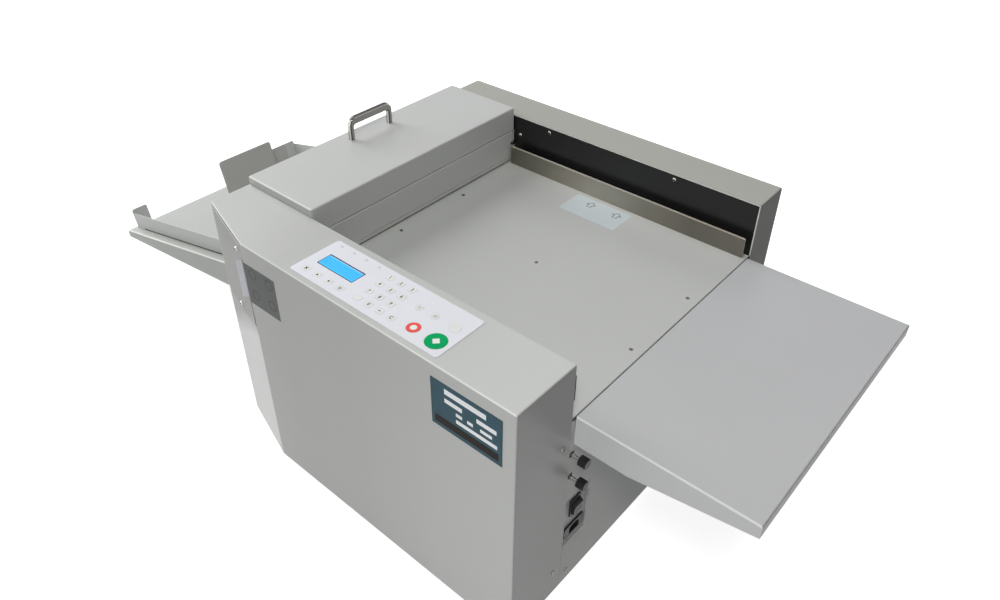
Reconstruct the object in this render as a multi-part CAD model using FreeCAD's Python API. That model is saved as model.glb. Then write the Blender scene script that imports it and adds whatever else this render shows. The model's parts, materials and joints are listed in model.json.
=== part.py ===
import FreeCAD, Part
import math
import os

os.makedirs("parts", exist_ok=True)
vec = FreeCAD.Vector

# Machine axes while modelling: x runs from the exit end up to the feed end at x = 0,
# y runs from the front face to the rear, z runs up from the bottom edge of the sheet metal.
# Every piece is moved on saving, so that the origin lies on the floor under the middle of the box.

# Body and housings
body_length = 680.0
body_depth = 694.0
body_height = 464.0
front_depth = 116.5
rear_depth = 78.0
sheet = 1.5
bend = 2.5
fold = 2.3
corner_run = 138.0
corner_depth = 41.0
seam = 0.6
past = 1.0

# Side frames, base pan and feet
frame_plate = 6.0
frame_recess = 2.0
pan_sheet = 2.0
pan_flange = 30.0
frame_hole_radius = 45.0
frame_hole_start = 145.0
frame_hole_pitch = 135.0
frame_hole_count = 3
foot_height = 12.0
foot_radius = 21.0
foot_tread_radius = 17.85
foot_inset = 75.0

# Feed table, fence and entry beam
table_height = 366.0
table_sheet = 2.0
table_seam = 1.4
table_edge = 20.0
rail_width = 30.0
rail_depth = 24.0
rail_sheet = 2.5
rail_entry_inset = 18.0
rail_end_inset = 20.0
fence_inset = 15.0
fence_height = 38.0
fence_sheet = 2.0
fence_foot = 11.0
fence_end_gap = 8.0
fence_entry_gap = 5.6
fence_corner = 4.0
mouth_gap = 10.5
beam_height = 54.8
beam_width = 12.0
beam_tab = 22.0
beam_notch = 7.0

# Top cover, its hinge and handle
cover_length = 165.0
cover_rise = 14.6
cover_gap = 0.8
cover_seam = 1.8
cover_skirt = 36.9
hinge_setback = 6.0
hinge_drop = 25.0
hinge_pin_radius = 3.0
pin_rim = 2.0
pin_stickout = 2.0
pin_end_gap = 0.3
handle_pitch = 92.0
handle_leg = 10.0
handle_grip = 15.0
handle_rise = 43.0
handle_inset = 30.0
handle_round = 4.0
handle_shoulder = 16.0
handle_inside = 5.0

# Rollers, belt and feed motor
feed_roller_setback = 30.0
exit_roller_inset = 30.0
lower_roller_radius = 15.0
upper_roller_radius = 12.0
roller_core_radius = 8.0
nip_gap = 0.3
journal_radius = 5.0
roller_end_gap = 6.0
roller_edge = 1.0
core_end_gap = 0.5
bush_wall = 3.0
running_fit = 0.05
press_gap = 0.02
pulley_radius = 14.0
pulley_width = 14.0
pulley_flange = 3.0
pulley_standoff = 14.0
pulley_rim = 1.5
belt_thickness = 2.0
belt_gap = 0.3
belt_side_gap = 2.0
motor_drop = 61.0
motor_offset = 12.0
motor_size = 56.0
motor_length = 76.0
motor_shaft_radius = 4.0
motor_corner = 5.0
motor_pilot_radius = 19.0
motor_pilot = 2.0

# Creasing unit
crank_height = 215.0
crank_radius = 8.0
crank_throw = 2.5
eccentric_radius = 14.0
eccentric_width = 6.0
eccentric_gap = 1.0
yoke_gap = 0.8
yoke_wall = 8.0
pull_bar = 5.0
pull_bar_neck = 24.0
pull_bar_shoulder = 6.0
pull_bar_taper = 10.0
pull_bar_round = 4.0
yoke_round = 3.0
blade_beam_width = 24.0
blade_beam_height = 30.0
blade_beam_lift = 20.0
guide_gap = 0.3
blade_thickness = 3.0
blade_lift = 4.5
blade_slot = 10.0
blade_end_gap = 8.0
anvil_width = 24.0
anvil_height = 26.0
anvil_groove = 4.4
anvil_groove_depth = 3.0
anvil_groove_round = 1.0
gearbox_size = 76.0
gearbox_length = 36.0
gearbox_post = 31.0
gearbox_post_radius = 4.0
gearbox_corner = 6.0
gearbox_gap = 6.0
gearbox_wall = 5.5
crank_step = 2.0
crank_end_gap = 0.5
crease_motor_radius = 30.0
crease_motor_length = 26.0
crease_motor_edge = 3.0

# Trays
extension_reach = 264.0
tray_front_gap = 9.25
tray_rear_gap = 7.25
extension_root_drop = 52.0
extension_straight = 85.0
extension_end_drop = 21.0
exit_reach = 576.0
exit_slope = 13.85
exit_root_height = 260.0
exit_root_drop = 70.0
exit_mid_reach = 359.0
exit_mid_drop = 37.0
exit_end_drop = 16.0
exit_end_round = 6.0
exit_sill_drop = 8.0
exit_sill_lip = 11.0

# Sheet guides and stops on the exit tray
front_guide_inset = 20.0
rear_guide_inset = 4.0
guide_height = 36.0
guide_foot = 22.0
guide_start = 60.0
guide_tab = 36.0
guide_tab_height = 44.0
guide_corner = 4.0
slide_gap = 0.2
stop_sheet = 1.5
stop_width = 137.0
stop_foot = 40.0
stop_corner = 6.0
tall_stop_place = 400.0
tall_stop_height = 119.0
low_stop_place = 455.0
low_stop_height = 82.0
low_stop_shift = 70.0

# Control panel, measured from the feed end and the front face
panel_start = 140.0
panel_length = 295.0
panel_inset = 10.0
panel_depth = 94.0
panel_sheet = 0.8
panel_corner = 5.0
key_gap = 0.25
key_rise = 0.2
key_travel = 0.5
key_lip = 1.0
key_lip_sheet = 1.5
key_lip_gap = 0.3
key_edge = 0.1
key_switch_rise = 6.0
key_switch_gap = 0.1
key_switch = 6.0
small_key_length = 13.0
small_key_depth = 11.0
small_key_corner = 2.5
round_key_radius = 6.0
test_key_radius = 9.0
stop_key_radius = 10.3
start_key_radius = 15.7
number_column = 262.9
number_row = 28.0
column_pitch = 22.0
row_pitch = 20.5
cursor_column = 341.8
cursor_pitch = 24.5
cursor_row = 26.0
function_row = 68.8
count_key_column = 227.7
mode_key_column = 198.1
test_key_column = 162.4
main_key_row = 33.5
stop_key_column = 203.7
start_key_column = 162.5
display_column = 377.0
display_row = 58.5
display_length = 76.0
display_depth = 27.0
display_frame = 6.0
display_corner = 1.0
board_drop = 16.0
board_sheet = 1.6
board_margin = 3.0
board_post_inset = 8.0
board_post_radius = 3.0

# Mains recess, adjusters and inner boxes
recess_width = 63.0
recess_height = 115.0
recess_sill = 82.0
recess_depth = 5.0
inlet_rise = 31.0
switch_rise = 80.0
inlet_length = 50.0
inlet_height = 24.0
inlet_mouth_length = 24.6
inlet_mouth_height = 16.6
inlet_depth = 16.0
inlet_back = 4.0
inlet_flange = 3.0
inlet_corner = 5.0
mouth_corner = 1.0
mouth_chamfer = 5.0
contact_length = 10.5
contact_thickness = 2.0
contact_height = 4.0
contact_pitch = 7.0
contact_offset = 2.0
switch_length = 36.0
switch_width = 26.0
rocker_radius = 13.0
rocker_width = 19.0
rocker_tilt = 8.0
rocker_sink = 1.0
rocker_face = 8.0
rocker_back = 6.0
switch_bezel = 2.5
switch_body = 20.0
switch_corner = 2.0
adjuster_inset = 6.5
adjuster_upper = 295.0
adjuster_lower = 250.0
adjuster_rod_radius = 2.5
adjuster_reach = 14.0
adjuster_depth = 70.0
adjuster_hole = 12.0
adjuster_block_length = 30.0
adjuster_block_margin = 15.0
knob_radius = 8.0
knob_length = 13.0
knob_flutes = 12
knob_flute_radius = 1.2
knob_edge = 1.2
supply_length = 160.0
supply_depth = 98.0
supply_height = 42.0
supply_inset = 120.0
supply_setback = 90.0
supply_round = 2.0
vent_count = 8
vent_pitch = 14.0
vent_width = 5.0
vent_margin = 20.0
vent_depth = 3.0
sensor_height = 43.0
sensor_lift = 32.0
sensor_length = 14.0
sensor_depth = 8.5
sensor_round = 1.5
corner_panel_height = 166.0
corner_panel_drop = 10.0
corner_margin = 7.0
corner_flange = 12.0
corner_flange_gap = 20.0
corner_screw_inset = 14.0
corner_upper_screw = 26.0
corner_lower_screw = 73.0
corner_tab_half = 10.0
corner_tab_hold = 8.0

# Screws
screw_radius = 2.0
screw_head = 3.8
screw_head_height = 2.4
screw_head_edge = 1.2
screw_length = 7.0
screw_gap = 0.1
screw_edge = 18.0
screw_high = 326.0
screw_low = 52.0
pan_screw_drop = 10.0
frame_screw_drop = 12.0
frame_screw_deep_drop = 39.0
frame_screw_first = 14.0
frame_screw_second = 85.0
frame_screw_end = 159.0
table_screw_spread = 80.0

# Places worked out from the sizes above
exit_x = -body_length
entry_x = exit_x + cover_length
channel_front = front_depth
channel_rear = body_depth - rear_depth
frame_front = channel_front - frame_recess
frame_rear = channel_rear + frame_recess
frame_front_back = frame_front - frame_plate
frame_rear_back = frame_rear + frame_plate
channel_middle = (channel_front + channel_rear) / 2
table_under = table_height - table_sheet
beam_bottom = table_height + mouth_gap
beam_top = beam_bottom + beam_height
cover_bottom = beam_top + cover_seam
cover_top = body_height + cover_rise
cover_front = channel_front + cover_gap
cover_rear = channel_rear - cover_gap
hinge_x = entry_x - hinge_setback
hinge_z = cover_bottom - hinge_drop
feed_roller_x = entry_x - feed_roller_setback
exit_roller_x = exit_x + exit_roller_inset
crease_x = (feed_roller_x + exit_roller_x) / 2
lower_roller_z = table_height - lower_roller_radius
upper_roller_z = table_height + nip_gap + upper_roller_radius
motor_x = feed_roller_x - motor_offset
motor_z = lower_roller_z - motor_drop
pulley_front = frame_rear_back + pulley_standoff
pulley_rear = pulley_front + pulley_width
blade_beam_bottom = table_height + blade_beam_lift
blade_beam_top = blade_beam_bottom + blade_beam_height
blade_stroke = 2 * crank_throw
front_bar_inner = frame_front_back - eccentric_gap - (eccentric_width - pull_bar) / 2
front_bar_outer = front_bar_inner - pull_bar
rear_bar_inner = frame_rear_back + eccentric_gap + (eccentric_width - pull_bar) / 2
tray_front = channel_front + tray_front_gap
tray_rear = channel_rear - tray_rear_gap
slope = math.tan(math.radians(exit_slope))
slope_length = exit_reach / math.cos(math.radians(exit_slope))
tray_root = vec(exit_x, 0, exit_root_height)
panel_top = body_height + panel_sheet
housing_under = body_height - sheet
board_top = housing_under - board_drop
recess_front = channel_front + seam
recess_middle = recess_front + recess_width / 2
recess_back = -recess_depth
adjuster_y = channel_front + adjuster_inset

middle_x = (extension_reach + exit_x - exit_reach) / 2
to_floor_middle = vec(-middle_x, -body_depth / 2, foot_height)


def save(name, shape):
    placed = shape.copy()
    placed.translate(to_floor_middle)
    placed.exportStep("parts/" + name + ".step")


# Solids and outlines that many pieces use
def block(x0, x1, y0, y1, z0, z1):
    return Part.makeBox(x1 - x0, y1 - y0, z1 - z0, vec(x0, y0, z0))


def rod_x(y, z, radius, x0, x1):
    return Part.makeCylinder(radius, x1 - x0, vec(x0, y, z), vec(1, 0, 0))


def rod_y(x, z, radius, y0, y1):
    return Part.makeCylinder(radius, y1 - y0, vec(x, y0, z), vec(0, 1, 0))


def rod_z(x, y, radius, z0, z1):
    return Part.makeCylinder(radius, z1 - z0, vec(x, y, z0), vec(0, 0, 1))


def rounded_wire(corners):
    # each corner is a point and the radius of the arc that rounds it
    count = len(corners)
    starts = []
    ends = []
    arcs = []
    for index in range(count):
        point, radius = corners[index]
        before = corners[index - 1][0]
        after = corners[(index + 1) % count][0]
        inward = (before - point).normalize()
        outward = (after - point).normalize()
        half = inward.getAngle(outward) / 2
        if radius == 0:
            starts.append(point)
            ends.append(point)
            arcs.append(None)
            continue
        reach = radius / math.tan(half)
        first = point + inward * reach
        last = point + outward * reach
        bisector = (inward + outward).normalize()
        middle = point + bisector * (radius / math.sin(half) - radius)
        starts.append(first)
        ends.append(last)
        arcs.append(Part.Arc(first, middle, last).toShape())
    edges = []
    for index in range(count):
        if arcs[index]:
            edges.append(arcs[index])
        following = (index + 1) % count
        if ends[index].distanceToPoint(starts[following]) > 1e-6:
            edges.append(Part.LineSegment(ends[index], starts[following]).toShape())
    return Part.Wire(edges)


def slab(corners, thickness):
    return Part.Face(rounded_wire(corners)).extrude(thickness)


def plan_slab(points, z0, z1):
    return slab([(vec(x, y, z0), radius) for x, y, radius in points], vec(0, 0, z1 - z0))


def side_slab(points, y0, y1):
    return slab([(vec(x, y0, z), radius) for x, z, radius in points], vec(0, y1 - y0, 0))


def end_slab(points, x0, x1):
    return slab([(vec(x0, y, z), radius) for y, z, radius in points], vec(x1 - x0, 0, 0))


def rectangle(u0, u1, v0, v1, radius):
    return [(u0, v0, radius), (u1, v0, radius), (u1, v1, radius), (u0, v1, radius)]


def round_edges(shape, radius, wanted):
    chosen = [edge for edge in shape.Edges if wanted(edge)]
    return shape.makeFillet(radius, chosen)


def bevel_edges(shape, size, wanted):
    chosen = [edge for edge in shape.Edges if wanted(edge)]
    return shape.makeChamfer(size, chosen)


def along(edge, axis):
    if not isinstance(edge.Curve, (Part.Line, Part.LineSegment)):
        return False
    return abs(abs(edge.tangentAt(edge.FirstParameter).dot(axis)) - 1) < 1e-6


def on_level(edge, z):
    box = edge.BoundBox
    return abs(box.ZMin - z) < 1e-4 and abs(box.ZMax - z) < 1e-4


def fuse_all(shapes):
    whole = shapes[0]
    for shape in shapes[1:]:
        whole = whole.fuse(shape)
    return whole.removeSplitter()


def cut_all(shape, tools):
    return shape.cut(Part.makeCompound(tools))


# Screws: where each one enters, and the way its head faces
pan_screw_z = pan_flange - pan_screw_drop
feed_end_screws = [
    (0, channel_front - screw_edge, screw_high),
    (0, channel_front - screw_edge, screw_low),
    (0, channel_front + screw_edge, pan_screw_z),
    (0, channel_rear - screw_edge, pan_screw_z),
    (0, channel_rear + screw_edge, screw_high),
    (0, channel_rear + screw_edge, screw_low),
]
exit_end_screws = [
    (exit_x, channel_front + screw_edge, pan_screw_z),
    (exit_x, channel_rear - screw_edge, pan_screw_z),
    (exit_x, channel_rear + screw_edge, screw_high),
    (exit_x, channel_rear + screw_edge, screw_low),
]
frame_screws = [
    (entry_x + frame_screw_first, frame_rear, body_height - frame_screw_deep_drop),
    (entry_x + frame_screw_second, frame_rear, body_height - frame_screw_drop),
    (-frame_screw_end, frame_rear, body_height - frame_screw_drop),
]
corner_length = math.hypot(corner_run, corner_depth)
corner_along = vec(corner_run, -corner_depth, 0).normalize()
corner_out = vec(-corner_depth, -corner_run, 0).normalize()
corner_start = vec(exit_x, corner_depth, 0)
corner_panel_top = body_height - corner_panel_drop
corner_panel_bottom = corner_panel_top - corner_panel_height
corner_screws = [
    (corner_length - corner_upper_screw, corner_panel_top - corner_screw_inset),
    (corner_length - corner_lower_screw, corner_panel_bottom + corner_screw_inset),
]
rail_first = entry_x + rail_entry_inset
rail_last = -rail_end_inset
table_rail_places = [rail_first, (rail_first + rail_last) / 2, rail_last]
table_screws = [
    (rail_first, channel_middle - table_screw_spread),
    (rail_first, channel_middle + table_screw_spread),
    (table_rail_places[1], channel_middle),
    (rail_last, channel_middle - table_screw_spread),
    (rail_last, channel_middle + table_screw_spread),
]


def pan_screw(place, outward):
    head = rod_z(0, 0, screw_head, 0, screw_head_height)
    head = bevel_edges(head, screw_head_edge, lambda edge: on_level(edge, screw_head_height))
    shank = rod_z(0, 0, screw_radius, -screw_length, 0)
    solid = head.fuse(shank).removeSplitter()
    turn = FreeCAD.Rotation(vec(0, 0, 1), outward)
    solid.Placement = FreeCAD.Placement(vec(*place), turn)
    return solid


def screw_bore(place, outward):
    radius = screw_radius + screw_gap
    start = vec(*place) - outward * (screw_length + past)
    return Part.makeCylinder(radius, screw_length + 2 * past, start, outward)


def corner_place(distance, level):
    spot = corner_start + corner_along * distance
    return (spot.x, spot.y, level)


end_out = vec(1, 0, 0)
exit_out = vec(-1, 0, 0)
frame_out = vec(0, -1, 0)
screw_sites = [(place, end_out) for place in feed_end_screws]
screw_sites += [(place, exit_out) for place in exit_end_screws]
screw_sites += [(place, frame_out) for place in frame_screws]
screw_sites += [(corner_place(distance, level), corner_out) for distance, level in corner_screws]
screw_bores = [screw_bore(place, outward) for place, outward in screw_sites]


def table_screw(x, y):
    head = Part.makeCone(screw_radius, screw_head, table_sheet, vec(x, y, table_under), vec(0, 0, 1))
    return head.fuse(rod_z(x, y, screw_radius, table_under - screw_length, table_under)).removeSplitter()


def table_screw_bore(x, y):
    gap = screw_gap
    head = Part.makeCone(
        screw_radius + gap, screw_head + gap, table_sheet, vec(x, y, table_under), vec(0, 0, 1)
    )
    return head.fuse(rod_z(x, y, screw_radius + gap, table_under - screw_length - past, table_under))


screws = [pan_screw(place, outward) for place, outward in screw_sites]
screws += [table_screw(x, y) for x, y in table_screws]
save("machine_screws", Part.makeCompound(screws))

# Base pan and feet
body_plan = [
    (0, 0, 0),
    (0, body_depth, 0),
    (exit_x, body_depth, 0),
    (exit_x, corner_depth, 0),
    (exit_x + corner_run, 0, 0),
]


def body_offset(inset, z0, z1):
    wire = rounded_wire([(vec(x, y, z0), radius) for x, y, radius in body_plan])
    inner = wire.makeOffset2D(-inset)
    return Part.Face(inner).extrude(vec(0, 0, z1 - z0))


pan = body_offset(sheet, 0, pan_flange).cut(body_offset(sheet + pan_sheet, pan_sheet, pan_flange + past))
save("base_pan", cut_all(pan, screw_bores))

foot_profile = Part.Wire(Part.makePolygon([
    vec(0, 0, 0),
    vec(foot_radius, 0, 0),
    vec(foot_tread_radius, 0, -foot_height),
    vec(0, 0, -foot_height),
    vec(0, 0, 0),
]))
feet = []
for foot_x in (exit_x + foot_inset, -foot_inset):
    for foot_y in (foot_inset, body_depth - foot_inset):
        foot = Part.Face(foot_profile).revolve(vec(0, 0, 0), vec(0, 0, 1), 360)
        foot.translate(vec(foot_x, foot_y, 0))
        feet.append(foot)
save("rubber_feet", Part.makeCompound(feet))

# Keys: each outline is drawn once and used for the key, its hole and its lip
number_columns = [-number_column - step * column_pitch for step in (2, 1, 0, -1)]
number_rows = [number_row + step * row_pitch for step in range(4)]
number_places = [(column, row) for row in number_rows[1:] for column in number_columns[:3]]
number_places += [(column, number_rows[0]) for column in number_columns]
cursor_places = [(-cursor_column - step * cursor_pitch, cursor_row) for step in (3, 2, 1, 0)]


def key_body(key, grow, z0, z1):
    x, y, radius = key
    if radius:
        return rod_z(x, y, radius + grow, z0, z1)
    half_length = small_key_length / 2 + grow
    half_depth = small_key_depth / 2 + grow
    return plan_slab(
        rectangle(x - half_length, x + half_length, y - half_depth, y + half_depth, small_key_corner + grow),
        z0, z1,
    )


def key_solid(key):
    key_top = panel_top + key_rise
    lip_top = housing_under - key_lip_gap
    cap = key_body(key, 0, board_top + key_switch_rise, key_top)
    cap = bevel_edges(cap, key_edge, lambda edge: on_level(edge, key_top))
    lip = key_body(key, key_lip, lip_top - key_lip_sheet, lip_top)
    return cap.fuse(lip).removeSplitter()


number_keys = [(x, y, 0) for x, y in number_places]
single_keys = {
    "cancel_key": (cursor_places[0][0], cursor_row, 0),
    "up_key": (cursor_places[1][0], cursor_row, 0),
    "down_key": (cursor_places[2][0], cursor_row, 0),
    "menu_key": (cursor_places[3][0], cursor_row, 0),
    "count_key": (-count_key_column, function_row, round_key_radius),
    "mode_key": (-mode_key_column, function_row, round_key_radius),
    "test_key": (-test_key_column, function_row, test_key_radius),
    "stop_key": (-stop_key_column, main_key_row, stop_key_radius),
    "start_key": (-start_key_column, main_key_row, start_key_radius),
}
all_keys = number_keys + list(single_keys.values())
key_holes = [key_body(key, key_gap, housing_under - past, panel_top + past) for key in all_keys]
for name, key in single_keys.items():
    save(name, key_solid(key))
save("number_keys", Part.makeCompound([key_solid(key) for key in number_keys]))

# Display module and its window
display_x0 = -display_column - display_length / 2
display_x1 = -display_column + display_length / 2
display_y0 = display_row - display_depth / 2
display_y1 = display_row + display_depth / 2
display_window = plan_slab(
    rectangle(display_x0 - key_gap, display_x1 + key_gap, display_y0 - key_gap, display_y1 + key_gap,
              display_corner),
    housing_under - past, panel_top + past,
)
display_glass = plan_slab(rectangle(display_x0, display_x1, display_y0, display_y1, display_corner),
                          housing_under - past, panel_top)
display_body = block(display_x0 - display_frame, display_x1 + display_frame,
                     display_y0 - display_frame, display_y1 + display_frame, board_top, housing_under)
save("lcd_module", display_body.fuse(display_glass).removeSplitter())

# Printed control overlay on the front housing
panel_x1 = -panel_start
panel_x0 = panel_x1 - panel_length
overlay = plan_slab(
    rectangle(panel_x0, panel_x1, panel_inset, panel_inset + panel_depth, panel_corner), body_height, panel_top
)
save("control_overlay", cut_all(overlay, key_holes + [display_window]))

# Control board with one small switch under each key, hung on four posts
panel_y0 = panel_inset
panel_y1 = panel_inset + panel_depth
board = block(panel_x0 + board_margin, panel_x1 - board_margin, panel_y0 + board_margin, panel_y1 - board_margin,
              board_top - board_sheet, board_top)
switch_half = key_switch / 2
switch_top = board_top + key_switch_rise - key_travel - key_switch_gap
board_pieces = [board]
for x, y, radius in all_keys:
    board_pieces.append(block(x - switch_half, x + switch_half, y - switch_half, y + switch_half,
                              board_top, switch_top))
for x in (panel_x0 + board_post_inset, panel_x1 - board_post_inset):
    for y in (panel_y0 + board_post_inset, panel_y1 - board_post_inset):
        board_pieces.append(rod_z(x, y, board_post_radius, board_top, housing_under))
save("control_board", fuse_all(board_pieces))


# Housings: folded covers, open at the bottom and towards the side frames
def folded_housing(points, open_y0, open_y1):
    outer = plan_slab(points, 0, body_height)
    free_edge = (open_y0 + open_y1) / 2

    def bent(edge):
        if not on_level(edge, body_height):
            return False
        on_free_side = abs(edge.BoundBox.Center.y - free_edge) < sheet and along(edge, vec(1, 0, 0))
        return not on_free_side

    outer = round_edges(outer, fold, bent)
    wire = rounded_wire([(vec(x, y, -past), 0) for x, y, radius in points])
    hollow = Part.Face(wire.makeOffset2D(-sheet)).extrude(vec(0, 0, housing_under + past))
    opening = block(exit_x + sheet, -sheet, open_y0, open_y1, -past, housing_under)
    return outer.cut(hollow).cut(opening)


front_plan = [
    (0, 0, bend),
    (0, front_depth, 0),
    (exit_x, front_depth, 0),
    (exit_x, corner_depth, bend),
    (exit_x + corner_run, 0, bend),
]
front = folded_housing(front_plan, front_depth - sheet - past, front_depth + sheet + past)


def corner_box(start, end, out, depth, z0, z1):
    near = corner_start + corner_along * start + corner_out * out
    across = corner_along * (end - start)
    inward = corner_out * -depth
    points = [near, near + across, near + across + inward, near + inward]
    return slab([(vec(point.x, point.y, z0), 0) for point in points], vec(0, 0, z1 - z0))


corner_window = corner_box(corner_margin, corner_length - bend, past, sheet + 2 * past,
                           corner_panel_bottom, corner_panel_top)
front = cut_all(front, key_holes + [display_window, corner_window])
tab_spans = [
    (corner_screws[0], corner_screws[0][1] - corner_tab_half, corner_panel_top + corner_tab_hold),
    (corner_screws[1], corner_panel_bottom - corner_tab_hold, corner_screws[1][1] + corner_tab_half),
]
corner_fit = seam / 2
tabs = []
tab_rooms = []
for (distance, level), z0, z1 in tab_spans:
    start = distance - corner_tab_half
    end = distance + corner_tab_half
    tabs.append(corner_box(start, end, -sheet, sheet, z0, z1))
    tab_rooms.append(corner_box(start - corner_fit, end + corner_fit, -sheet, sheet + corner_fit, z0, z1))
front = cut_all(fuse_all([front] + tabs), screw_bores)
save("front_housing", front)

# Corner panel: a shallow folded plate in the window of the chamfered corner, screwed to the tabs behind it
corner_plate = corner_box(corner_margin + corner_fit, corner_length - bend - corner_fit, 0, sheet,
                          corner_panel_bottom + corner_fit, corner_panel_top - corner_fit)
lip_end = corner_length - bend - corner_flange_gap
upper_lip = corner_box(corner_margin + corner_fit, lip_end, 0, corner_flange,
                       corner_panel_top - corner_fit - sheet, corner_panel_top - corner_fit)
lower_lip = corner_box(corner_margin + corner_fit, lip_end, 0, corner_flange,
                       corner_panel_bottom + corner_fit, corner_panel_bottom + corner_fit + sheet)
corner_panel = fuse_all([corner_plate, upper_lip, lower_lip])
save("corner_panel", cut_all(corner_panel, tab_rooms + screw_bores))

rear_plan = [
    (0, channel_rear, 0),
    (0, body_depth, bend),
    (exit_x, body_depth, bend),
    (exit_x, channel_rear, 0),
]
rear = folded_housing(rear_plan, channel_rear - sheet - past, channel_rear + sheet + past)
save("rear_housing", cut_all(rear, screw_bores))

# Side frames with their bearing seats, blade slots and lightening holes
roller_shafts = [
    (feed_roller_x, lower_roller_z),
    (feed_roller_x, upper_roller_z),
    (exit_roller_x, lower_roller_z),
    (exit_roller_x, upper_roller_z),
]
bush_radius = journal_radius + running_fit + bush_wall
crank_bush_radius = crank_radius + running_fit + bush_wall
frame_x0 = exit_x + sheet + pan_sheet
frame_x1 = -sheet - pan_sheet
slot_half = blade_beam_width / 2 + guide_gap
slot_bottom = blade_beam_bottom - blade_stroke - past
slot_top = blade_beam_top + past


def side_frame(y0):
    y1 = y0 + frame_plate
    plate = side_slab(rectangle(frame_x0, frame_x1, pan_sheet, housing_under, 0), y0, y1)
    cuts = [rod_y(x, z, bush_radius + press_gap, y0 - past, y1 + past) for x, z in roller_shafts]
    cuts.append(rod_y(crease_x, crank_height, crank_bush_radius + press_gap, y0 - past, y1 + past))
    cuts.append(rod_y(hinge_x, hinge_z, hinge_pin_radius + press_gap, y0 - past, y1 + past))
    cuts.append(block(crease_x - slot_half, crease_x + slot_half, y0 - past, y1 + past, slot_bottom, slot_top))
    for step in range(frame_hole_count):
        hole_x = -frame_hole_start - step * frame_hole_pitch
        cuts.append(rod_y(hole_x, table_under / 2, frame_hole_radius, y0 - past, y1 + past))
    return cut_all(plate, cuts + screw_bores)


save("front_side_frame", side_frame(frame_front_back))
pilot_hole = rod_y(motor_x, motor_z, motor_pilot_radius + press_gap, frame_rear - past, frame_rear_back + past)
save("rear_side_frame", side_frame(frame_rear).cut(pilot_hole))


def bush(x, z, inner, outer, y0):
    y1 = y0 + frame_plate
    return rod_y(x, z, outer, y0, y1).cut(rod_y(x, z, inner, y0 - past, y1 + past))


bushes = []
for frame_y in (frame_front_back, frame_rear):
    for x, z in roller_shafts:
        bushes.append(bush(x, z, journal_radius + running_fit, bush_radius, frame_y))
    bushes.append(bush(crease_x, crank_height, crank_radius + running_fit, crank_bush_radius, frame_y))
save("shaft_bushes", Part.makeCompound(bushes))

# Feed table on its three cross rails, with the fence along the rear side
table_x0 = entry_x - beam_width
table_y0 = channel_front + seam
table_y1 = channel_rear - seam
table = block(table_x0, -table_seam, table_y0, table_y1, table_under, table_height)
table_lip = block(-table_seam - table_sheet, -table_seam, table_y0, table_y1, table_height - table_edge, table_height)
table = table.fuse(table_lip).removeSplitter()
table = round_edges(table, bend, lambda edge: on_level(edge, table_height) and edge.BoundBox.XMin > -2 * table_seam)
save("feed_table", cut_all(table, [table_screw_bore(x, y) for x, y in table_screws]))

rails = []
for rail_x in table_rail_places:
    half = rail_width / 2
    rail_x1 = min(rail_x + half, -seam - table_sheet - seam)
    rail = block(rail_x - half, rail_x1, frame_front, frame_rear, table_under - rail_depth, table_under)
    hollow = block(rail_x - half + rail_sheet, rail_x1 - rail_sheet, frame_front - past, frame_rear + past,
                   table_under - rail_depth - past, table_under - rail_sheet)
    rails.append(cut_all(rail.cut(hollow), [table_screw_bore(x, y) for x, y in table_screws]))
save("table_rails", Part.makeCompound(rails))

fence_x0 = entry_x + fence_entry_gap
fence_x1 = -fence_end_gap
fence_y = channel_rear - fence_inset
fence_top = table_height + fence_height
fence_wall = side_slab(
    [
        (fence_x0, table_height, 0),
        (fence_x1, table_height, 0),
        (fence_x1, fence_top, fence_corner),
        (fence_x0, fence_top, fence_corner),
    ],
    fence_y, fence_y + fence_sheet,
)
fence_base = block(fence_x0, fence_x1, fence_y, fence_y + fence_foot, table_height, table_height + fence_sheet)
save("paper_fence", fence_wall.fuse(fence_base).removeSplitter())

# Sheet sensor on the front frame, at the feed end
sensor_x1 = -sheet - seam
sensor_z = table_height + sensor_lift
sensor = block(sensor_x1 - sensor_length, sensor_x1, frame_front, frame_front + sensor_depth,
               sensor_z, sensor_z + sensor_height)
sensor = round_edges(sensor, sensor_round, lambda edge: edge.BoundBox.YMin > frame_front + sensor_depth / 2)
save("sheet_sensor", sensor)

# Entry beam: a folded channel above the mouth, notched at both ends for the cover's ears
beam_x0 = entry_x - beam_width
beam = block(beam_x0, entry_x, frame_front, frame_rear, beam_bottom, beam_top)
beam = round_edges(beam, bend, lambda edge: edge.BoundBox.XMin > entry_x - 1e-3 and along(edge, vec(0, 1, 0)))
beam_cuts = [block(beam_x0 - past, entry_x - sheet, frame_front - past, frame_rear + past,
                   beam_bottom + sheet, beam_top - sheet)]
for notch_y0 in (frame_front - past, frame_rear - beam_notch):
    beam_cuts.append(block(beam_x0 - past, entry_x + past, notch_y0, notch_y0 + beam_notch + past,
                           beam_bottom + beam_tab, beam_top + past))
save("entry_beam", cut_all(beam, beam_cuts))

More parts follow.
